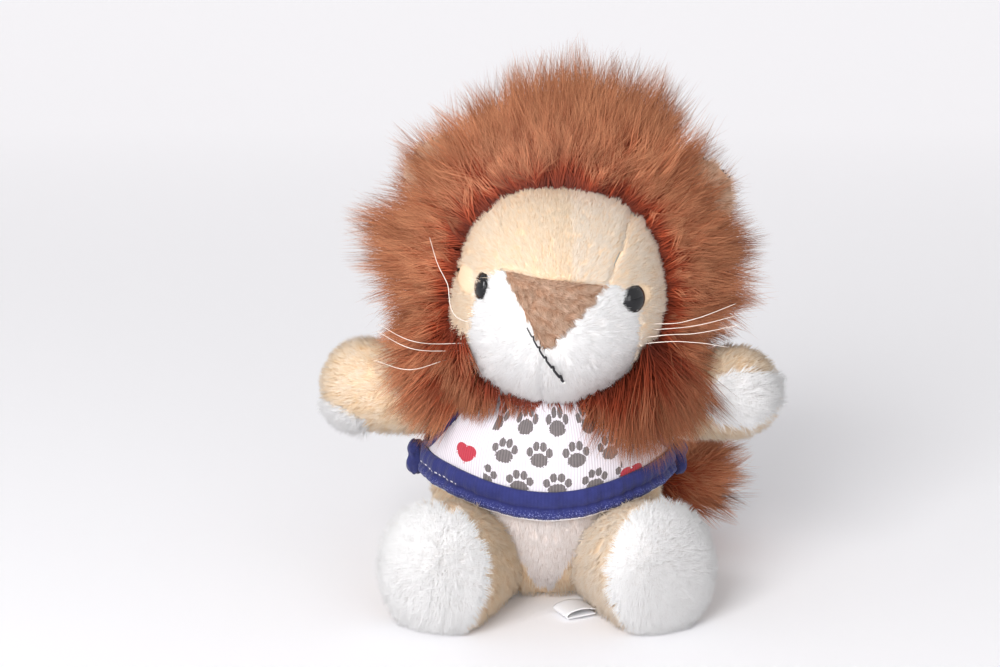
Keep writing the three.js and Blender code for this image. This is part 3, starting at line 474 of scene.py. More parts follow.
# How much painted shade darkens each leg's inner side, where the legs face each other.
inner_shade_painted = {"left": 0.08, "right": 0.33}
sides = ((1, "left"), (-1, "right"))


def turn_matrix(about_z, about_y):
    cz, sz, cy, sy = math.cos(about_z), math.sin(about_z), math.cos(about_y), math.sin(about_y)
    return np.array([[cz, -sz, 0], [sz, cz, 0], [0, 0, 1]]) @ np.array([[cy, 0, sy], [0, 1, 0], [-sy, 0, cy]])


def limb_form(x, reach, root, half_width, half_height, taper, root_power, tip_power, grow):
    """A limb along its own X: an ellipse whose half sizes are sqrt(1 - |u| to a power) (1 + taper u), where u
    runs from -1 at the root to 1 at the tip and the power is one at the root's half, another at the tip's."""
    middle, half = (reach - root) / 2, (reach + root) / 2 + grow
    u = np.clip((x - middle) / half, -1, 1)[:, None]
    full = np.sqrt(1 - np.abs(u) ** np.where(u < 0, root_power, tip_power)) * (1 + taper * u)
    turn = full_turn(61)
    wide, tall = (half_width + grow) * full, (half_height + grow) * full
    return grid(x[:, None], wide * np.cos(turn), tall * np.sin(turn))


def off_floor(root):
    return root[:, 2] > 0.0009


def limb_stations(start, end, count):
    return start + (end - start) * (1 - np.cos(np.linspace(0, math.pi, count))) / 2


for side, name in sides:
    body = f"{name}_leg"
    about_z = -(math.pi / 2 - leg_splay) if side > 0 else math.pi + (math.pi / 2 - leg_splay)
    place = turn_matrix(about_z, -leg_rise)
    origin = np.array([side * hip[0], hip[1], hip[2]])

    def leg_form(start, end, grow, floor):
        local = limb_form(limb_stations(start, end, 40), leg_reach, leg_root, leg_half_width, leg_half_height,
                          0.22, 2.4, 7, grow)
        world = origin + local @ place.T
        world[..., 2] = np.maximum(world[..., 2], floor)
        return world

    axis = place[:, 0]
    foot = origin + axis * leg_reach
    along = 0.2 * axis + np.array([0, 0, -0.5])

    def round_sole(root, normal):
        out = unit((root - foot) - ((root - foot) @ axis)[:, None] * axis)
        rim = np.clip(np.linalg.norm(root - foot, axis=1) / 0.018, 0, 1)[:, None]
        return normal + 0.5 * out * rim, 0.5 * normal + 0.9 * out * rim + np.array([0.15, 0, -0.25])

    painted_share = inner_shade_painted[name]

    def painted_inner_leg_shade(root):
        """Painted shade: the hair's shade is pale on the leg's outer side and darker and warmer, by twice the
        painted share, on its inner one, where the legs shade each other. The right leg's share is larger, as
        the key lamp at the left leaves its inner side in shade.
        """
        aside = (root - origin) - ((root - origin) @ axis)[:, None] * axis
        return 0.95 - painted_share + painted_share * np.tanh(60 * side * aside[:, 0])

    low, tip = -leg_root + backing_depth, leg_reach - backing_depth
    cloth = leg_form(low, sole_start, -backing_depth, 0.0006)
    plush(f"leg_cloth_{name}", f"leg_skin_{name}", body, cream_material, cloth,
          combed(along, 1.8 * along, (1.0, 0.6)), 21 + side, count=17000, length=0.0038, width=0.00036,
          around=True, shade=painted_inner_leg_shade, where=off_floor)
    cap = leg_form(sole_start, tip, -backing_depth, 0.0006)
    plush(f"sole_cloth_{name}", f"sole_pad_{name}", body, white_material, cap, round_sole, 31 + side,
          count=19000, length=0.0050, width=0.0003, around=True, pull=0.4, stray=0.2, tuft_stray=0.16,
          where=off_floor)
    form = leg_form(-leg_root + filling_depth, leg_reach - filling_depth, -filling_depth, 0.002)
    filling(f"leg_filling_{name}", f"leg_stuffing_{name}", body, form)


# Label
# A strip of white satin ribbon, folded in half and caught in the left leg's lower seam. It is plain.
label_length, label_width, label_fold = 0.0115, 0.010, 0.0016
label_bow, label_thickness = 0.001, 0.0003
label_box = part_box("label")
ribbon_material, tree, shader = material("ribbon", Roughness=0.45, Specular_IOR_Level=0.4)
place = tree.node("ShaderNodeTexCoord", {}, out=3)
weave = tree.node("ShaderNodeTexWave", {"Vector": place, "Scale": 900.0, "Distortion": 0.4}, out=1)
ribbon_stops = [(0.0, tone(226, 226, 230)), (1.0, tone(246, 246, 248))]
tree.node("ShaderNodeValToRGB", {0: weave}, stops=ribbon_stops).to(shader)


def label_form():
    """A ribbon that runs out, turns back in a half circle and returns, with one layer bowed a little."""
    across = np.linspace(-0.5, 0.5, 13)[None, :] * label_width
    radius = label_fold / 2
    straight = label_length - radius
    arc = math.pi * radius
    total = 2 * straight + arc
    s = np.linspace(0, 1, 41)[:, None] * total
    bend = np.clip((s - straight) / radius, 0, math.pi)
    x = np.where(s > straight + arc, total - s, straight + radius * np.sin(bend))
    x = np.where(s < straight, s, x)
    z = radius * np.cos(bend) + label_bow * np.sin(math.pi * x / label_length) * (s < straight)
    return grid(x, across, z)


label_side = 0.5 * label_width * np.array([math.sin(leg_splay), math.cos(leg_splay), 0])
label_root = np.array([label_box[1].x, label_box[1].y, 0.002]) - label_side
label_patch = label_root + label_form() @ turn_matrix(math.pi + leg_splay, 0).T
label = piece("label_ribbon", [backing(label_patch, across=True)], ribbon_material, "left_leg", "label")
thicken = label.modifiers.new("ribbon", "SOLIDIFY")
thicken.thickness = label_thickness
thicken.offset = 0


# Arms
# Two short stuffed stubs of cream plush with a white oval paw pad let into the palm side.
arm_reach, arm_root, arm_radius = 0.046, 0.009, 0.0155
arm_rise = math.radians(11)
shoulders = {"left": (0.036322, -0.008549, 0.067), "right": (-0.033678, -0.008549, 0.067)}
arm_turns = {"left": math.radians(-10), "right": math.pi - math.radians(10)}
palm_turn = math.radians(55)
palm_faces = {"left": (0.0, -1.0, 0.0), "right": (0.0, math.cos(palm_turn), -math.sin(palm_turn))}
pad_from_tip, pad_half_length, pad_half_width = 0.013, 0.011, 0.0085
pad_shares = {"left": 1.05, "right": 0.7}


def arm_full(x, grow):
    middle, half = (arm_reach - arm_root) / 2, (arm_reach + arm_root) / 2 + grow
    u = np.clip((x - middle) / half, -1, 1)
    return (arm_radius + grow) * np.sqrt(1 - np.abs(u) ** np.where(u < 0, 2.2, 3)) * (1 + 0.3 * u)


for seed, name in enumerate(("left", "right")):
    body = f"{name}_arm"
    place = turn_matrix(arm_turns[name], -arm_rise)
    origin = np.array(shoulders[name])
    palm = np.array(palm_faces[name])
    share = pad_shares[name]
    beside = np.cross([1.0, 0.0, 0.0], palm)

    def arm_form(grow):
        start, end = -arm_root - grow, arm_reach + grow
        local = limb_form(limb_stations(start, end, 44), arm_reach, arm_root, arm_radius, arm_radius,
                          0.3, 2.2, 3, grow)
        return origin + local @ place.T

    def pad_form(grow):
        """An oval on the arm: x and the sideways place are a circle's, scaled, and the depth is the arm's."""
        ring = np.linspace(0, 1, 14)[:, None]
        turn = full_turn(49)
        x = arm_reach - pad_from_tip + share * pad_half_length * ring * np.cos(turn)
        wide = share * pad_half_width * ring * np.sin(turn)
        deep = np.sqrt(np.maximum(0, arm_full(x, grow) ** 2 - wide ** 2))
        local = grid(x, 0, 0) + deep[..., None] * palm + wide[..., None] * beside
        return facing_out(origin + local @ place.T, origin)

    toward_paw = combed(0.5 * place[:, 0], 1.1 * place[:, 0] + np.array([0, 0, -0.3]))

    def off_pad(root):
        local = (root - origin) @ place
        oval = ((local[:, 0] - arm_reach + pad_from_tip) / pad_half_length) ** 2
        oval = oval + ((local @ beside) / pad_half_width) ** 2
        rough = 0.85 + 0.45 * np.random.default_rng(5).random(len(root))
        return (oval > rough * share ** 2) | (local @ palm < 0)

    plush(f"arm_cloth_{name}", f"arm_skin_{name}", body, cream_material, arm_form(-backing_depth), toward_paw,
          41 + seed, count=16000, length=0.0044, width=0.00036, around=True, where=off_pad, stray=0.2)
    plush(f"paw_cloth_{name}", f"paw_pad_{name}", body, white_material, pad_form(-backing_depth + panel_lift),
          toward_paw, 51 + seed, count=4200, length=0.0056, width=0.00034, around=True,
          stray=0.3, tuft_stray=0.3, even=0.3)
    filling(f"arm_filling_{name}", f"arm_stuffing_{name}", body, arm_form(-filling_depth))


# Tail
# A narrow tube of rust plush that curls round from the seat to the left, with a tuft of long pile at its end.
rust_shades = ((124, 46, 24), (190, 84, 50), (240, 172, 128))
rust_material = plush_material("rust_pile", rust_shades, (0.2, 0.13, 0.1, 1.0), roughness=0.55)
tail_radius = 0.0042
tail_points = np.array([
    [0.010, 0.02846, 0.015], [0.0141, 0.0429, 0.015], [0.027, 0.0471, 0.0195], [0.044, 0.041, 0.024],
])
tuft_start, tuft_half_length, tuft_radius = np.array([0.0443, 0.041, 0.024]), 0.017, 0.014
tuft_place = turn_matrix(math.radians(-8), math.radians(-4))


def smooth_line(points, count):
    """A curve through points: each span's cubic leaves and meets them along their neighbours' line."""
    ends = [2 * points[0] - points[1], 2 * points[-1] - points[-2]]
    p = np.concatenate([ends[:1], points, ends[1:]])
    way = np.linspace(0, len(points) - 1, count)
    k = np.minimum(way.astype(int), len(points) - 2)
    t = (way - k)[:, None]
    a, b, c, d = p[k], p[k + 1], p[k + 2], p[k + 3]
    square, cubic = 2 * a - 5 * b + 4 * c - d, 3 * b - a - 3 * c + d
    return 0.5 * (2 * b + (c - a) * t + square * t * t + cubic * t ** 3)


def tube_form(line, radius, around=12, close=False):
    """A tube on a line: circles across it, in frames held to one direction, with a radius that may vary."""
    off_axis = np.array([0.31, 0.17, 0.93])
    ahead = unit(np.gradient(line, axis=0))
    side = unit(np.cross(ahead, off_axis))
    other = np.cross(ahead, side)
    turn = full_turn(around + 1)[..., None]
    size = np.broadcast_to(radius, (len(line),))[:, None, None]
    wall = line[:, None] + size * (side[:, None] * np.cos(turn) + other[:, None] * np.sin(turn))
    if close:
        start = np.broadcast_to(line[:1, None], wall[:1].shape)
        end = np.broadcast_to(line[-1:, None], wall[-1:].shape)
        wall = np.concatenate([start, wall, end])
    return wall


def to_shell(p, d):
    """How far it is from places along directions to an ellipsoid round them, which the pile's tips reach.
    Both are in shares of its half sizes, so that it is the root of |p + t d| = 1."""
    a, b, c = (d * d).sum(1), (p * d).sum(1), (p * p).sum(1) - 1
    return (-b + np.sqrt(np.maximum(b * b - a * c, 0))) / a


tail_cloth = tube_form(smooth_line(tail_points, 30), tail_radius - 0.0018, around=16)
tail_lean = combed(np.array([0.4, 0, 0]), np.array([0.9, 0, -0.2]), (1.0, 0.6))
plush("tail_cloth", "tail_cord", "tail", rust_material, tail_cloth, tail_lean, 61,
      count=5000, length=0.0046, width=0.00034, around=True, stray=0.2)

tuft_line = tuft_start + np.linspace(-0.001, 0.012, 12)[:, None] * tuft_place[:, 0]
tuft_core = tube_form(tuft_line, 0.0028 * np.sqrt(1 - np.linspace(0, 0.99, 12) ** 3), around=14, close=True)
tuft_centre = tuft_start + tuft_half_length * tuft_place[:, 0]
tuft_half = np.array([tuft_half_length * 1.02, tuft_radius * 1.2, tuft_radius * 1.25])


def tuft_fit(start, ahead):
    return to_shell(((start - tuft_centre) @ tuft_place) / tuft_half, (ahead @ tuft_place) / tuft_half)


tuft_lean = combed(tuft_place[:, 0], 0.9 * tuft_place[:, 0], (0.9, 0.4))
plush("tail_tuft_pile", "tail_tuft", "tail", rust_material, tuft_core, tuft_lean, 62,
      count=4600, length=0.027, width=0.0003, per_tuft=24, pull=0.85, rings=3, around=True,
      fit=tuft_fit, tuft_stray=0.3, even=0.35, shade=lambda root: 0.85)


# Shirt
# Two panels of fine white rib knit, joined down the sides and open for the arms, with a printed pattern.
knit_thickness, shirt_fold = 0.0011, 0.0004
shirt_top = 0.075
hem_side, hem_front, hem_back = 0.042, 0.0355, 0.043
band_height, edge_share = 0.0095, 0.44
seam_y = -0.003


def hem_height(turn):
    """The hem's height round the torso: the side's less the drop times the turn's sine to the fourth."""
    facing = np.sin(turn)
    end = np.where(facing < 0, hem_front, hem_back)
    return hem_side - (hem_side - end) * np.abs(facing) ** 4


knit_tone_and_groove_shade = tone(206, 199, 207), tone(230, 224, 231)
shirt_material, tree, shader = material("white_knit", Roughness=0.85, Sheen_Weight=0.15)
across, up = tree.uv()
# Painted shade: the knit is darker in the grooves between its ribs, as well as bumped by them.
rib = tree.ridges(across, 120)
knit = tree.mix(rib, *knit_tone_and_groove_shade)
grain = tree.noise(1500.0)


def oval(x, y, centre_x, centre_y, half_x, half_y):
    """1 - x x - y y in shares of an ellipse's half sizes: above zero inside it. The print is in mm."""
    return 1 - ((x - centre_x) / half_x) ** 2 - ((y - centre_y) / half_y) ** 2


def cube(value):
    return value * value * value


def heart(x, y, size):
    """Above zero inside the curve (x x + y y - 1) cubed = x x y y y."""
    a, b = x / size, y / size
    return a * a * cube(b) - cube(a * a + b * b - 1)


panel_wide, panel_high = 123.5, 35.7
print_low, row_step, paw_step = 3.0, 10.4, 12.6
print_x = (across - 0.5) * panel_wide
print_y = up * panel_high
rows_up = (print_y - print_low) / row_step
paw_row = tree.math("FLOOR", rows_up)
paw_x = (tree.math("FRACT", print_x / paw_step + paw_row * 0.5 + 8.3) - 0.5) * paw_step
paw_y = (tree.math("FRACT", rows_up) - 0.5) * row_step
paw = oval(paw_x, paw_y, 0, -1.7, 3.1, 2.4)
for centre_x, centre_y in ((-3.5, 0.9), (-1.3, 2.9), (1.3, 2.9), (3.5, 0.9)):
    paw = tree.math("MAXIMUM", paw, oval(paw_x, paw_y, centre_x, centre_y, 1.2, 1.6))
in_middle = tree.math("LESS_THAN", tree.math("ABSOLUTE", print_x - 1.5), 24.5)
paw_ink = tree.math("GREATER_THAN", paw + (grain - 0.5) * 1.2, 0.0) * in_middle
hearts = tree.math("MAXIMUM", heart((print_x + 31.5) * 0.76, print_y - 13.2, 3.3),
                   heart((print_x - 29.9) * 0.76, print_y - 5.2, 3.3))
heart_ink = tree.math("GREATER_THAN", hearts + (grain - 0.5) * 0.12, 0.0)
# The print is darker in the rib grooves too: painted shade.
charcoal = tree.mix(rib * 0.35 + grain * 0.4, tone(52, 44, 44), tone(120, 110, 106))
red = tree.mix(rib * 0.4 + grain * 0.3, tone(168, 32, 52), tone(206, 72, 90))
printed = tree.mix(heart_ink, tree.mix(paw_ink * 0.9, knit, charcoal), red)
printed.to(shader)
rib.bumps(shader, 0.5, 0.0002)
plain_material, tree, shader = material("white_knit_plain", Roughness=0.85, Sheen_Weight=0.15)
# Painted shade: darker in the grooves between the ribs.
rib = tree.ridges(tree.uv()[0], 120)
tree.mix(rib, *knit_tone_and_groove_shade).to(shader)
rib.bumps(shader, 0.5, 0.0002)


def shirt_form(start, end, grow):
    """A panel of the shirt: turn s about the torso, height from under the band to the top, and soft folds."""
    s = np.linspace(0, 1, 121)[None, :]
    t = np.linspace(0, 1, 56)[:, None]
    turn = start + (end - start) * s
    low = hem_height(turn) + 0.4 * band_height
    height = low + (shirt_top - low) * t
    waves = np.sin(9 * turn + 30 * height) + np.sin(5 * turn - 90 * height)
    return torso_points(turn, height, grow + shirt_fold * waves * np.sin(math.pi * t))


def arm_hole(points, faces, name, radius):
    """Moves the corners inside an arm's circle out to it, drops the faces that were all inside, and says
    which faces are kept."""
    place = turn_matrix(arm_turns[name], -arm_rise)
    local = (points - np.array(shoulders[name])) @ place
    off = local.copy()
    off[:, 0] = 0
    away = np.linalg.norm(off, axis=1)
    inside = (away < radius) & (local[:, 0] > -0.012)
    kept = ~inside[faces].all(axis=1)
    moved = points.copy()
    moved[inside] += (unit(off[inside]) * (radius - away[inside])[:, None]) @ place.T
    return moved, faces[kept], kept


arm_hole_radius = 0.0142
seam_turn = math.asin(seam_y / torso_half_depth)
turns = {"front": (math.pi - seam_turn, 2 * math.pi + seam_turn), "back": (seam_turn, math.pi - seam_turn)}
shirt_flats = {"front": (0.125, 0.038), "back": (0.125, 0.034)}
for half, knitted in (("front", shirt_material), ("back", plain_material)):
    name, flat = f"shirt_{half}", shirt_flats[half]
    points, faces, uv, normals = backing(shirt_form(*turns[half], 0.0006), across=True)
    for arm in ("left", "right"):
        points, faces, kept = arm_hole(points, faces, arm, arm_hole_radius)
        uv = uv[kept]
    panel = piece(f"{name}_knit", [(points, faces, uv, normals)], knitted, "torso", name, "white_knit")
    thicken = panel.modifiers.new("knit", "SOLIDIFY")
    thicken.thickness = knit_thickness
    thicken.offset = 1


# Hem band and sleeve bands
# Cuff knit in royal blue: a folded band round the hem, sewn in two rows, a knot at each side, and a thin
# band round each armhole.
blue_material, tree, shader = material("blue_knit", Roughness=0.9, Sheen_Weight=0.1)
along, round_loop = tree.uv()
ribs = tree.ridges(along, 110)
worn = tree.noise(260.0)
fuzz = tree.noise(2200.0, 3.0)
# The blue drifts in tone, and is a little lighter on the ribs and darker between them: painted shade.
dye_and_rib_shade = tree.mix(ribs * 0.12 + worn * 0.7, tone(24, 29, 86), tone(48, 55, 124))


def near(value, place, reach):
    """One at a place, and down to zero at a reach either side of it."""
    return tree.math("MAXIMUM", 1 - tree.math("ABSOLUTE", value - place) / reach, 0.0)


groove = near(round_loop, 0.235, 0.035)
# Flecks of paler blue over the lower swell, most at its crest.
swell_flecks = near(round_loop, 0.15, 0.07) * tree.math("GREATER_THAN", fuzz, 0.58)
raw_edge = tree.math("LESS_THAN", round_loop + (fuzz - 0.5) * 0.08, 0.088)
dashes = tree.math("GREATER_THAN", tree.math("SINE", along * (2 * math.pi * 55)), 0.1)
dash_row = tree.math("GREATER_THAN", near(round_loop, 0.262, 0.012), 0.3)
left_end = tree.math("LESS_THAN", along, 0.24) * dash_row
# Painted shade: the band is darker along the groove between its two swells.
banded = tree.mix(groove * 0.75, dye_and_rib_shade, tone(18, 22, 84))
banded = tree.mix(swell_flecks * 0.55, banded, tone(150, 158, 220))
banded = tree.mix(tree.math("MAXIMUM", raw_edge, dashes * left_end * 0.8), banded, tone(240, 238, 244))
banded.to(shader)
(ribs * 0.25 + fuzz).bumps(shader, 0.5, 0.0003)
navy_material, tree, shader = material("navy_knit", Roughness=0.9, Sheen_Weight=0.1)
tree.mix(tree.noise(260.0), tone(20, 24, 70), tone(52, 58, 122)).to(shader)
tree.noise(1400.0, 3.0).bumps(shader, 0.8, 0.0004)


def band_form(start, end):
    """The band's section is a flat loop with two swells and a groove, carried along the hem. The raw lower
    edge's swell takes the first share of its rise, and the folded part's the rest."""
    turn = np.linspace(start, end, 181)[:, None]
    loop = full_turn(41)
    rise = 0.5 - 0.5 * np.cos(loop)
    outer = np.sin(loop) > 0
    lower = np.abs(np.sin(math.pi * np.clip(rise / edge_share, 0, 1))) * (rise < edge_share)
    upper = np.abs(np.sin(math.pi * np.clip((rise - edge_share) / (1 - edge_share), 0, 1)))
    swell = 0.0008 + 0.0016 * lower + 0.0012 * upper ** 0.5 * (rise >= edge_share)
    wave = 0.0003 * np.sin(23 * turn) + 0.0002 * np.sin(61 * turn)
    depth = 0.0021 + np.where(outer, swell + wave, 0) * np.abs(np.sin(loop)) ** 0.3
    height = hem_height(turn) - 0.0012 + (band_height + 0.0014) * rise
    return torso_points(np.broadcast_to(turn, height.shape), height, depth)


for half, ends in turns.items():
    name = f"hem_band_{half}"
    points, faces, uv, normals = backing(band_form(*ends), across=True)
    closed(piece(f"{name}_knit", [(points, faces, uv[..., ::-1], normals)], blue_material, "torso", name))

knot_inset = 0.001
knot_half = (0.0034, 0.0042, 0.0062)
sleeve_radius = 0.0011
sleeve_gap = 0.002


def knot_form(middle):
    """A knot of knit: a ball with a waist and soft lumps, each a sine of the turns about and along it."""
    v = np.linspace(0, math.pi, 24)[:, None]
    u = full_turn(33)
    waist = 1 - 0.3 * np.exp(-((v - 1.45) / 0.3) ** 2)
    fat = (1 + 0.1 * np.sin(3 * u + 2 * v) + 0.05 * np.sin(7 * u - 3 * v)) * waist * np.sin(v) ** 0.6
    tall = knot_half[2] * np.cos(v) + 0.0003 * np.sin(4 * u)
    return middle + grid(knot_half[0] * fat * np.cos(u), knot_half[1] * fat * np.sin(u), tall)


def sleeve_ring(side, name):
    """The armhole's edge: a circle about the arm's axis, open at the top, laid on the shirt."""
    turn = np.linspace(math.radians(-205), math.radians(25), 60)
    reach = arm_hole_radius + 0.0006
    local = grid(np.zeros(60), np.cos(turn) * reach, np.sin(turn) * reach)
    ring = np.array(shoulders[name]) + local @ turn_matrix(arm_turns[name], -arm_rise).T
    wide, deep, x0, y0 = torso_at(ring[:, 2])
    out = np.sqrt(np.maximum(0.05, 1 - ((ring[:, 1] - y0) / (deep + sleeve_gap)) ** 2))
    ring[:, 0] = x0 + side * (wide + sleeve_gap) * out
    return ring[ring[:, 2] < shirt_top]


for side, name in sides:
    low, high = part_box(f"side_tab_{name}")
    knot = knot_form(np.array((low + high) / 2) - np.array([side * knot_inset, 0, 0]))
    solid(f"side_knot_{name}", f"side_tab_{name}", "torso", navy_material, knot, "blue_knit")
    trim = tube_form(sleeve_ring(side, name), sleeve_radius, close=True)
    solid(f"sleeve_trim_{name}", f"sleeve_band_{name}", "torso", navy_material, trim, "blue_knit")


# Head stuffing and the face's panels
# The head is a ball of fibre. Its front is sewn from a cream forehead gusset, a tan nose, two white muzzle
# halves and two cream cheeks, and the pile leans away from each seam, which leaves a fine groove.
head_half = np.array([0.0395, 0.042, 0.040])
head_centre = np.array([0.005, -0.015, 0.110])
head_place = turn_matrix(math.radians(-4), math.radians(4))
neck_height = torso_height + 0.0004
face_edge = 0.958
face_half_mm = head_half[[0, 2]] * 1000


def head_to_world(local):
    """The head's frame to the toy's, and no lower than the neck, but that chin and jowls hang before it."""
    world = head_centre + local @ head_place.T
    out = np.hypot(world[..., 0] / 1.1, world[..., 1] + 0.009)
    floor = neck_height - 0.7 * np.maximum(0, out - 0.024) * np.clip((-world[..., 1] - 0.015) / 0.012, 0, 1)
    world[..., 2] = np.maximum(world[..., 2], floor)
    return world


def squarer(local):
    """Seen from the front the head is squarer than an ellipse at its upper corners and longer at the chin:
    x and z grow by a share that follows the turn about the face and the fourth power of the way out."""
    x, z = local[..., 0] / head_half[0], local[..., 2] / head_half[2]
    far = np.minimum(np.hypot(x, z), 1)
    turn = np.arctan2(z, x)
    corners = 0.13 * np.maximum(0, np.sin(turn)) * np.sin(2 * turn) ** 2
    from_jowl = np.angle(np.exp(1j * (turn + 2.35)))
    chin = 0.19 * np.exp(-(from_jowl / 0.55) ** 2) + 0.09 * np.exp(-((turn + 1.6) / 0.4) ** 2)
    grow = 1 + far ** 4 * (corners + chin)
    return local * np.stack([grow, np.ones_like(grow), grow], -1)


def skull(v, u, grow):
    """The head's ellipsoid, at angles v from the axis to the face and u round it."""
    v, u = v[:, None], u[None, :]
    ball = grid(np.sin(v) * np.cos(u), -np.cos(v), np.sin(v) * np.sin(u))
    return head_to_world(squarer(ball * (head_half + grow)))


def on_face(x, z, grow):
    """A place on the face seen from the front, in shares of the head's half width and height, on its surface.
    The muzzle swells it by up to 1.6 mm round a point below the nose."""
    swell = 0.0016 * np.exp(-((x / 0.55) ** 2 + ((z + 0.45) / 0.42) ** 2))
    y = -np.sqrt(np.maximum(0, 1 - x * x - z * z))
    return head_to_world(squarer(np.stack([x, y, z], -1) * (head_half + (grow + swell)[..., None])))


def edge_line(points):
    """A line on the face, given in millimetres from the front, as a function from 0 to 1 along its length."""
    place = np.array(points) / face_half_mm
    far = np.concatenate([[0], np.cumsum(np.linalg.norm(np.diff(place, axis=0), axis=1))])
    return lambda t: np.stack([np.interp(t * far[-1], far, place[:, k]) for k in range(2)], -1)


def face_panel(inner, outer, side=1, grow=-backing_depth, rim=0.0):
    """A panel ruled between two edges, with its borders drawn down by half a millimetre into the seams."""
    t = np.linspace(0, 1, 40)
    s = np.linspace(0, 1, 33)[None, :, None]
    flat = inner(t)[:, None] * (1 - s) + outer(t)[:, None] * s
    if rim:
        far = np.linalg.norm(flat, axis=-1, keepdims=True)
        flat = flat * (1 + (t[:, None, None] ** 6) * (face_edge / np.maximum(far, 1e-6) - 1) * rim)
    x, z = side * flat[..., 0], flat[..., 1]
    border = np.minimum(np.minimum(s[..., 0], 1 - s[..., 0]), np.minimum(t, 1 - t)[:, None])
    sunk = 0.0007 * np.exp(-(border / 0.04) ** 2)
    return facing_out(on_face(x, z, grow - sunk), head_centre)


nose_corners = {1: (16.5, 11.0), -1: (20.0, 12.7)}
nose_far = (-nose_corners[-1][0], nose_corners[-1][1])
nose_tip = (-2.8, -12.5)
seam_top = (22.0, 31.1)
chin_corner = (22.8, -31.0)
muzzle_edge = [(25, 7.1), (29, -2.75), (29, -12.5), (27, -19.5), chin_corner]
rim_ends = np.array([chin_corner, seam_top]) / face_half_mm
rim_angle = np.linspace(*np.arctan2(rim_ends[:, 1], rim_ends[:, 0]), 20)
rim_line = face_half_mm * face_edge * np.stack([np.cos(rim_angle), np.sin(rim_angle)], -1)

head_ball = skull(np.linspace(0, math.pi, 60), np.linspace(0, 2 * math.pi, 97), -filling_depth)
filling("head_filling", "head_stuffing", "head", head_ball[:, ::-1])


def spread(line, count=60):
    """So many places along a line of points, evenly by the points' order."""
    way = np.linspace(0, len(line) - 1, count)
    return np.stack([np.interp(way, range(len(line)), part) for part in np.transpose(line)], -1)


seam_places = np.concatenate([
    spread([nose_corners[1], (20.25, 20.7), seam_top]),
    spread([nose_corners[1], nose_tip, nose_far]),
    spread([nose_corners[1]] + muzzle_edge),
])
clip_reach = 2.4


def clipped(length, least=0.35):
    """The pile is clipped short beside the seams and rises to its full length over clip_reach millimetres.
    It is left long round the eyes, where it falls over their rims."""
    def fit(start, ahead):
        local = (start - head_centre) @ head_place * 1000
        apart = local[:, None, [0, 2]] - seam_places[None]
        near_seam = np.sqrt((apart ** 2).sum(-1).min(1))
        share = least + (1 - least) * np.clip(near_seam / clip_reach, 0, 1) ** 0.7
        near_eye = np.hypot(np.abs(local[:, 0]) - 26.5, local[:, 2] - 5.5)
        over = np.where(local[:, 0] < 0, 1.8, 1.7) * np.exp(-(near_eye / 9) ** 2) * (np.abs(local[:, 0]) < 26)
        return length * np.maximum(share, over)
    return fit


def off_eyes(root):
    """Where the pile grows: not under the left eye, nor under the outer part of the right one."""
    x, _, z = ((root - head_centre) @ head_place * 1000).T
    return np.where(x > 0, np.hypot(x - 25.8, z - 5.3) > 4.3, np.hypot(x + 30.3, z - 5.3) > 4.4)


def two_tone(root):
    """The gusset's right half, seen from the front, is of a paler cut of the plush than its left half."""
    return 0.55 + 0.42 / (1 + np.exp(-((root[:, 0] - 0.0075) * 2500)))


def pale(root):
    return 0.75 + 6 * root[:, 0]


def away_from(x, z, strength, drop=0.0):
    """The pile lies away from a place on the face, given in millimetres, and a little down."""
    centre = head_to_world(np.array([[x / 1000, -0.042, z / 1000]]))[0]

    def lean(root, normal):
        out = root - centre
        out = unit(out - (out * normal).sum(1)[:, None] * normal) * strength
        fall = np.array([0, 0, -drop])
        return normal + out + fall, 0.35 * normal + 1.8 * out + 2 * fall
    return lean


gusset_left = edge_line([nose_corners[-1], (21.0, 20.7), seam_top])
gusset_right = edge_line([nose_corners[1], (20.25, 20.7), seam_top])
t = np.linspace(0, 1, 40)[:, None]
across = np.linspace(1, -1, 41)[None, :]
half = np.where(across > 0, gusset_right(t[:, 0])[:, :1], gusset_left(t[:, 0])[:, :1])
x = across * half
top = np.sqrt(np.maximum(0, face_edge ** 2 - x * x))
low = np.interp(x, *(np.array([nose_far, nose_corners[1]]) / face_half_mm).T)
z = low + t * (top - low)
border = np.minimum(1 - across, 4 * t)
gusset_patch = facing_out(on_face(x, z, -backing_depth - 0.0006 * np.exp(-(border / 0.06) ** 2)), head_centre)
plush("forehead_gusset_cloth", "forehead_gusset", "head", cream_material, gusset_patch,
      away_from(0, 0, 0.8), 71, count=12000, length=0.0028, width=0.00032,
      tuft_stray=0.16, fit=clipped(0.0028), shade=two_tone)

tan_shades = ((168, 124, 96), (214, 174, 148), (240, 210, 188))
tan_material = plush_material("tan_plush", tan_shades, (0.56, 0.52, 0.48, 1.0))
nose_left = edge_line([nose_far, nose_tip])
nose_right = edge_line([nose_corners[1], nose_tip])
nose_patch = face_panel(nose_left, nose_right, grow=-backing_depth)


def nose_lean(root, normal):
    """Wavy pile that lies down and to one side, in bands across the nose."""
    wave = np.sin(1400 * root[:, 2] + 500 * root[:, 0])[:, None]
    flow = np.array([0.75, 0, -0.5]) + wave * np.array([0.2, 0, 0.25])
    return normal + 0.5 * flow, 0.4 * normal + flow


plush("nose_patch_cloth", "nose_patch", "head", tan_material, nose_patch, nose_lean, 72,
      count=4200, length=0.0032, width=0.00032, per_tuft=14, pull=0.7, fit=clipped(0.0032, 0.8))

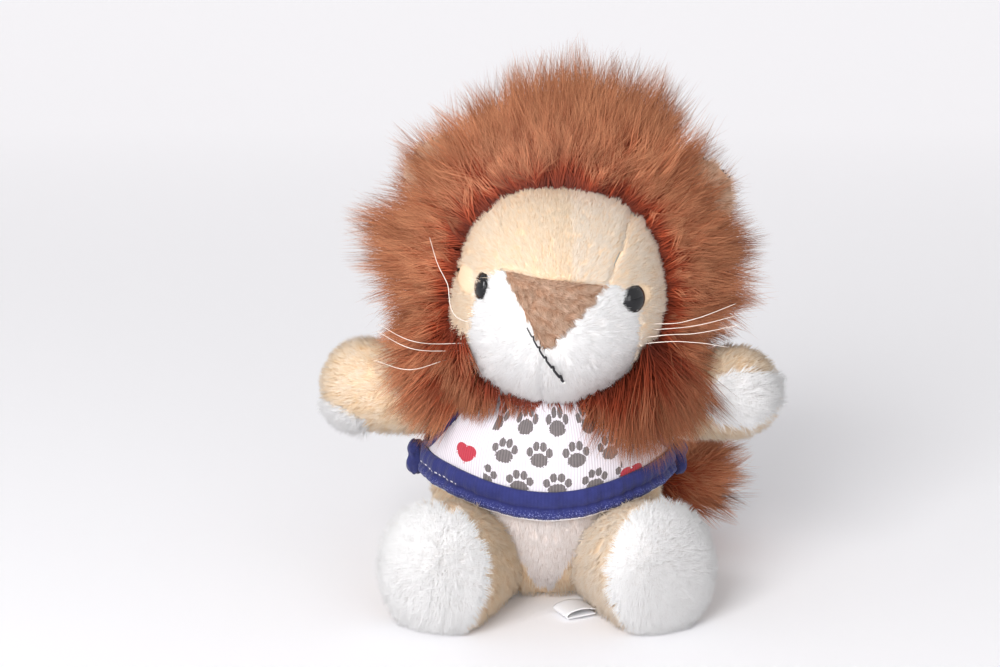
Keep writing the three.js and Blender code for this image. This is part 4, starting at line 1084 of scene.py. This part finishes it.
for seed, (side, name) in enumerate(sides):
    inner = edge_line([nose_corners[side], (side * nose_tip[0], nose_tip[1]), (side * nose_tip[0], -38.3)])
    patch = face_panel(inner, edge_line([nose_corners[side]] + muzzle_edge), side, rim=1.0)
    plush(f"muzzle_{name}_cloth", f"muzzle_{name}", "head", white_material, patch,
          away_from(0, -8, 1.4, drop=0.15), 81 + seed, count=10000, length=0.0038, width=0.00034,
          per_tuft=10, stray=0.14, tuft_stray=0.12, fit=clipped(0.0038, 0.3), where=off_eyes)
    outer_seam = edge_line(muzzle_edge[::-1] + [nose_corners[side], (20.6, 20.7), seam_top])
    patch = face_panel(outer_seam, edge_line(rim_line), side)
    plush(f"cheek_{name}_cloth", f"cheek_{name}", "head", cream_material, patch, away_from(0, 0, 0.8),
          91 + seed, count=6000, length=0.003, width=0.00032, fit=clipped(0.003), shade=pale, where=off_eyes)


# Eyes
# Domed safety eyes of glossy black plastic on a shank, held by a pale washer behind the cloth. The viewer's
# left one is turned outwards and half lost in the pile.
eye_radius, eye_dome, eye_rim = 0.0048, 0.0031, 0.0008
eye_shank, eye_shank_radius = 0.006, 0.0016
eye_rise = 0.0055
eye_sink = {"left": 0.0028, "right": 0.0035}
eye_tilt = {"left": 0.0, "right": 0.45}
eye_across = {"left": 0.0265, "right": -0.0282}
eye_material = speckled_material(
    "eye_plastic", 140.0, (3, 3, 5), (12, 12, 18), Roughness=0.08, Specular_IOR_Level=0.35, Coat_Weight=0.2)
washer_material = speckled_material("washer_plastic", 300.0, (206, 206, 200), (228, 228, 224), Roughness=0.4)

for side, name in sides:
    x, z = eye_across[name] / head_half[0], eye_rise / head_half[2]
    seat = np.array([x, -math.sqrt(1 - x * x - z * z), z])
    out = unit(seat / head_half)
    sideways = unit(np.cross(out, [0.0, 0.0, 1.0]))
    out = unit(out + eye_tilt[name] * sideways)
    sideways = unit(np.cross(out, [0.0, 0.0, 1.0]))
    upwards = np.cross(sideways, out)
    bend = np.linspace(0, math.pi / 2, 14)
    shank_high = [-eye_shank, -eye_shank, -0.0001, 0.0001, 0.0004]
    shank_wide = [0.0, eye_shank_radius, eye_shank_radius, 0.0042, 0.00485]
    high = np.concatenate([shank_high, eye_rim + (eye_dome - eye_rim) * np.sin(bend)]) - eye_sink[name]
    wide = np.concatenate([shank_wide, eye_radius * np.cos(bend)])
    turn = full_turn(49)[..., None]
    dome = seat * head_half + high[:, None, None] * out + wide[:, None, None] * (
        np.cos(turn) * sideways + np.sin(turn) * upwards)
    solid(f"eye_dome_{name}", f"eye_{name}", "head", eye_material, head_to_world(dome))
    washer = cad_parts[f"eye_washer_{name}"]
    washer.data.materials.clear()
    washer.data.materials.append(washer_material)


# Mouth
# One length of black twisted thread, stitched from the nose's left seam down across the muzzle.
thread_material, tree, shader = material("black_thread", Roughness=0.7)
around_thread, along = tree.uv()
twist = tree.ridges(along * 60 + around_thread * 2, 1)
end = tree.math("GREATER_THAN", along, 0.955)
black = tree.mix(end, tree.mix(twist, tone(8, 8, 10), tone(40, 38, 46)), tone(244, 243, 240))
black.to(shader)
mouth_route = np.array([[-8.8, -4.4], [-5.8, -8.9], [-2.7, -13.4], [0.8, -17.9], [4.4, -22.6]])
way = smooth_line(mouth_route, 90) / face_half_mm
stitch_count = 5.5
stitch = np.linspace(0, 1, 90)
dips = np.maximum(0, np.cos(2 * math.pi * stitch_count * stitch)) ** 6 * (stitch > 0.04) * (stitch < 0.94)
lift = 0.0004 - 0.0014 * dips
mouth_line = on_face(way[:, 0], way[:, 1], lift)
thread = tube_form(mouth_line, 0.0002 + 0.00028 * stitch, close=True)
solid("mouth_thread", "mouth_stitch", "head", thread_material, thread)


# Whiskers
# Four lengths of stiff clear nylon, each threaded through the muzzle from side to side.
nylon_material = speckled_material(
    "nylon", 80.0, (222, 204, 190), (250, 242, 234), Roughness=0.25, Specular_IOR_Level=0.6)
whisker_routes = {
    "top": [[-1.14, -0.4, 0.44], [-1.04, -0.58, 0.26], [-0.95, -0.57, 0.1], [-0.79, -0.61, -0.2],
            [0, -0.5, -0.15], [0.86, -0.48, -0.12], [1.16, -0.57, -0.03], [1.5, -0.52, 0.12]],
    "upper": [[-1.52, -0.55, -0.31], [-1.19, -0.74, -0.38], [-0.82, -0.5, -0.43], [0, -0.48, -0.3],
              [0.87, -0.43, -0.18], [1.19, -0.5, -0.1], [1.52, -0.45, 0]],
    "lower": [[-1.52, -0.6, -0.36], [-1.19, -0.76, -0.44], [-0.8, -0.48, -0.5], [0, -0.55, -0.4],
              [0.86, -0.5, -0.22], [1.19, -0.57, -0.15], [1.55, -0.52, -0.06]],
    "bottom": [[-1.52, -0.65, -0.6], [-1.19, -0.76, -0.62], [-0.78, -0.44, -0.56], [0, -0.55, -0.45],
               [0.84, -0.5, -0.28], [1.19, -0.57, -0.23], [1.47, -0.52, -0.26]],
}
for name, route in whisker_routes.items():
    line = head_to_world(smooth_line(np.array(route) * head_half, 70))
    taper = 0.00014 * (1 - 0.45 * np.abs(np.linspace(-1, 1, 70)) ** 3)
    whisker = tube_form(line, taper, around=8, close=True)
    solid(f"whisker_{name}_nylon", f"whisker_{name}", "head", nylon_material, whisker)


# Ears
# Each ear is two ovals of short tan pile sewn edge to edge and cupped forwards, half lost in the mane.
ear_angle, ear_reach = math.radians(51), 0.068
ear_half_width, ear_half_height, ear_cup = 0.013, 0.015, 0.004
ear_middle = np.array([0, 0.003, ear_reach - ear_half_height])
for seed, (side, name) in enumerate(sides):
    ear_turn = turn_matrix(0, side * ear_angle)

    def ear_form(depth):
        """A cupped oval: its depth grows with the square of the way out."""
        ring = np.linspace(0, 1, 16)[:, None]
        turn = full_turn(49)
        local = grid(ring * ear_half_width * np.cos(turn), depth + ear_cup * ring ** 2,
                     ring * ear_half_height * np.sin(turn))
        return head_to_world((local + ear_middle) @ ear_turn.T)

    def outwards(root, normal):
        out = unit(root - head_to_world(ear_middle[None] @ ear_turn.T)[0]) * 0.8
        return normal + out, 0.4 * normal + 1.8 * out

    layers = (("front", "lining", 0.0012, -1), ("back", "back", 0.0032, 1))
    for first_seed, (layer, node, depth, order) in zip((101, 111), layers):
        plush(f"ear_{layer}_pile_{name}", f"ear_{node}_{name}", "head", tan_material,
              ear_form(depth)[:, ::order], outwards, first_seed + seed,
              count=3000, length=0.0034, width=0.00034, around=True)


# Mane
# Long rust pile on the back of the head's cloth, from the hairline round to the nape, and a fringe of it
# below the chin. The hair stands out from the face and falls a little, in loose locks.
mane_rise, mane_back = 0.014, 0.018
mane_half = np.array([0.067, 0.044, 0.067])
mane_centre = head_centre + head_place @ np.array([0, mane_back, mane_rise])
outline_shares = [0.97, 0.96, 0.97, 0.98, 0.97, 0.93, 0.93, 0.95, 1.02, 1.04, 1.08, 1.0, 0.9, 1.0, 1.08,
                  1.06, 0.97]
lock_angles = [*range(0, 241, 15), 270, 300, 315, 330, 345, 350, 360]
lock_shares = [1.07, 0.97, 0.985, 0.98, 1.045, 1.0, 1.01, 1.0, 1.0, 1.03, 1.07, 1.0, 1.12, 1.07, 1.06, 1.04,
               0.97, 1.0, 0.97, 0.94, 0.97, 1.02, 1.07, 1.07]
hairline = math.acos(0.012 / 0.042)


def outline_at(turn):
    """The outline's share at an angle round the face, times the locks' share there, with two fine waves."""
    turn = np.mod(turn, 2 * math.pi)
    locks = np.interp(np.degrees(turn), lock_angles, lock_shares)
    locks = locks + 0.02 * np.sin(17 * turn) + 0.015 * np.sin(29 * turn)
    return np.interp(turn, full_turn(len(outline_shares))[0], outline_shares) * locks


def mane_fit(start, ahead):
    """How far a hair runs to the mane's shell, an ellipsoid whose width and height follow its outline."""
    p = (start - mane_centre) @ head_place
    d = ahead @ head_place
    share = np.ones(len(p))
    for _ in range(3):
        half = mane_half * np.stack([share, np.ones(len(p)), share], -1)
        far = to_shell(p / half, d / half)
        hit = p + d * far[:, None]
        share = outline_at(np.arctan2(hit[:, 2], hit[:, 0]))
    low = ((head_centre - start) @ head_place)[:, 2]
    return np.maximum(far, 0.030 * np.clip(low / 0.02, 0, 1))


def mane_lit(corners):
    out = unit(((corners - mane_centre) @ head_place / mane_half ** 2) @ head_place.T)
    return out + np.array([0, -0.25, 0.1])


def scalp(first_v, last_v, first_u, last_u):
    """A patch of the head's back between two angles from the face's axis and two angles round it."""
    patch = skull(np.linspace(first_v, last_v, 40), np.linspace(first_u, last_u, 60), -backing_depth)
    return facing_out(patch, head_centre)


def mane_lean(forward, fall):
    def lean(root, normal):
        local = (root - head_centre) @ head_place
        out = unit(local * np.array([1.0, 0.35, 1.0])) @ head_place.T
        low = np.clip(-local[:, 2:] / 0.025, 0, 1)
        push = np.array([0, -forward, -fall]) + low * np.array([0, -0.25, -0.45])
        return normal + 0.6 * out + 0.3 * push, 0.7 * out + 0.4 * normal + push
    return lean


# Piece, node, first and last angle from the face's axis and round it, hairs, and its lean forwards and down
mane_pieces = (
    ("mane_crown", "mane_crown", hairline, 1.75, 56, 124, 11300, 0.2, 0.0),
    ("mane_left", "mane_left", hairline, 1.75, -48, 56, 11400, 0.15, 0.12),
    ("mane_right", "mane_right", hairline, 1.75, 124, 228, 11400, 0.15, 0.12),
    ("mane_back", "mane_back", 1.75, math.pi, 0, 180, 10600, 0.0, 0.1),
    ("mane_nape", "head_back", 1.75, math.pi, 180, 360, 6200, 0.0, 0.1),
)
for seed, (name, node, v0, v1, u0, u1, count, forward, fall) in enumerate(mane_pieces):
    patch = scalp(v0, v1, math.radians(u0), math.radians(u1))
    plush(f"{name}_pile", node, "head", rust_material, patch, mane_lean(forward, fall), 121 + seed,
          count=count, length=0.04, width=0.00034, per_tuft=22, pull=0.78, stray=0.16, tuft_stray=0.26,
          rings=3, fit=mane_fit, lit=mane_lit, even=0.16)

beard_patch = scalp(math.radians(60), math.radians(96), math.radians(198), math.radians(342))
beard_places = np.array([-40, -28, -16, -6, 4, 14, 24, 34, 42]) / 1000
beard_lengths = np.array([20, 19, 13, 8, 8, 22, 40, 38, 28]) / 1000


def beard_lean(root, normal):
    side = (root - head_centre)[:, :1] * np.array([[16.0, 0, 0]])
    return 0.5 * normal + np.array([0, -0.9, -0.35]), 0.4 * side + np.array([0, -0.12, -1.0])


def beard_fit(start, ahead):
    return np.interp((start - head_centre)[:, 0], beard_places, beard_lengths)


def beard_lit(corners):
    return unit((corners - np.array([0.0, 0.0, 0.06])) * np.array([1.0, 1.0, 0.4]))


# Painted shade: the fringe below the chin takes one of the pile's darker shades, for the shade under the
# head.
plush("mane_beard_pile", "mane_beard", "head", rust_material, beard_patch, beard_lean, 131,
      count=7600, length=0.03, width=0.00036, per_tuft=18, pull=0.7, rings=3,
      tuft_stray=0.2, fit=beard_fit, lit=beard_lit, shade=lambda root: 0.3)


# Stage
# A seamless pale sweep that turns up behind the toy, a large soft lamp at the upper left and two fills.
sweep_front, sweep_flat, sweep_radius = 2.4, 3.6, 0.8
wide = np.linspace(-4, 4, 9)[None, :]
run = np.linspace(0, 1, 60)[:, None] * 6.0
bend = np.clip((run - sweep_flat) / sweep_radius, 0, math.pi / 2)
y = np.where(run < sweep_flat, run - sweep_front, sweep_flat - sweep_front + sweep_radius * np.sin(bend))
rise = sweep_radius * (1 - np.cos(bend)) + np.maximum(0, run - sweep_flat - sweep_radius * math.pi / 2)
z = np.where(run < sweep_flat, 0, rise)
points, faces, uv, normals = backing(grid(wide, y, z))
stage_mesh = bpy.data.meshes.new("sweep")
stage_mesh.from_pydata(points.tolist(), [], faces.tolist())
stage_mesh.shade_smooth()
sweep_object = bpy.data.objects.new("sweep", stage_mesh)
bpy.context.collection.objects.link(sweep_object)
sweep_object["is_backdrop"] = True


def seen_directly(tree):
    """One for what the camera sees, itself, in a gloss or through something clear, and zero for the rest."""
    ray = tree.node("ShaderNodeLightPath", {}).socket.node
    kinds = ("Is Camera Ray", "Is Glossy Ray", "Is Transmission Ray")
    camera, glossy, through = (Socket(tree.tree, ray.outputs[name]) for name in kinds)
    return tree.math("MAXIMUM", tree.math("MAXIMUM", camera, glossy), through)


paper, tree, shader = material("paper", Base_Color=tone(253, 252, 255), Roughness=0.9, Specular_IOR_Level=0.1)
glow = tree.node("ShaderNodeEmission", {"Color": tone(254, 252, 255), "Strength": 1.0})
seen = seen_directly(tree)
behind = tree.split("ShaderNodeTexCoord", out=3)[1]
share = seen * (0.05 + 0.67 * tree.node("ShaderNodeMapRange", {0: behind, 1: 0.05, 2: 1.1}))
both = tree.node("ShaderNodeMixShader", {0: share, 1: Socket(tree.tree, shader.outputs[0]), 2: glow})
both.to(paper.node_tree.nodes["Material Output"], "Surface")
sweep_object.data.materials.append(paper)

world = bpy.data.worlds.new("studio")
world.use_nodes = True
bpy.context.scene.world = world
backdrop = world.node_tree.nodes["Background"]
backdrop.inputs["Color"].default_value = (1.0, 1.0, 1.0, 1.0)
(seen_directly(Socket(world.node_tree)) * 0.5 + 0.5).to(backdrop, "Strength")


def lamp(name, place, target, size, power):
    data = bpy.data.lights.new(name, "AREA")
    data.shape = "SQUARE"
    data.size = size
    data.energy = power
    made = bpy.data.objects.new(name, data)
    bpy.context.collection.objects.link(made)
    ahead = unit(np.array([target]) - np.array([place]))[0]
    made.location = place
    made.rotation_mode = "QUATERNION"
    made.rotation_quaternion = Vector(ahead).to_track_quat("-Z", "Y")


lamp("key", (-0.65, -1.35, 0.95), (0, 0, 0.08), 0.8, 23)
lamp("fill", (-0.4, -1.5, 0.28), (0, 0, 0.05), 0.8, 5)
lamp("low_fill", (0.6, -1.4, 0.2), (0, 0, 0.03), 0.8, 5)

camera_data = bpy.data.cameras.new("camera")
camera_data.lens = 76.07
camera_data.sensor_width = 36
camera_data.clip_start = 0.01
camera = bpy.data.objects.new("camera", camera_data)
bpy.context.collection.objects.link(camera)
camera.location = (-0.016, -0.7277, 0.2716)
camera.rotation_euler = (math.radians(90 - 14), 0, 0)
bpy.context.scene.camera = camera
bpy.context.scene.view_settings.view_transform = "Standard"

low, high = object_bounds()
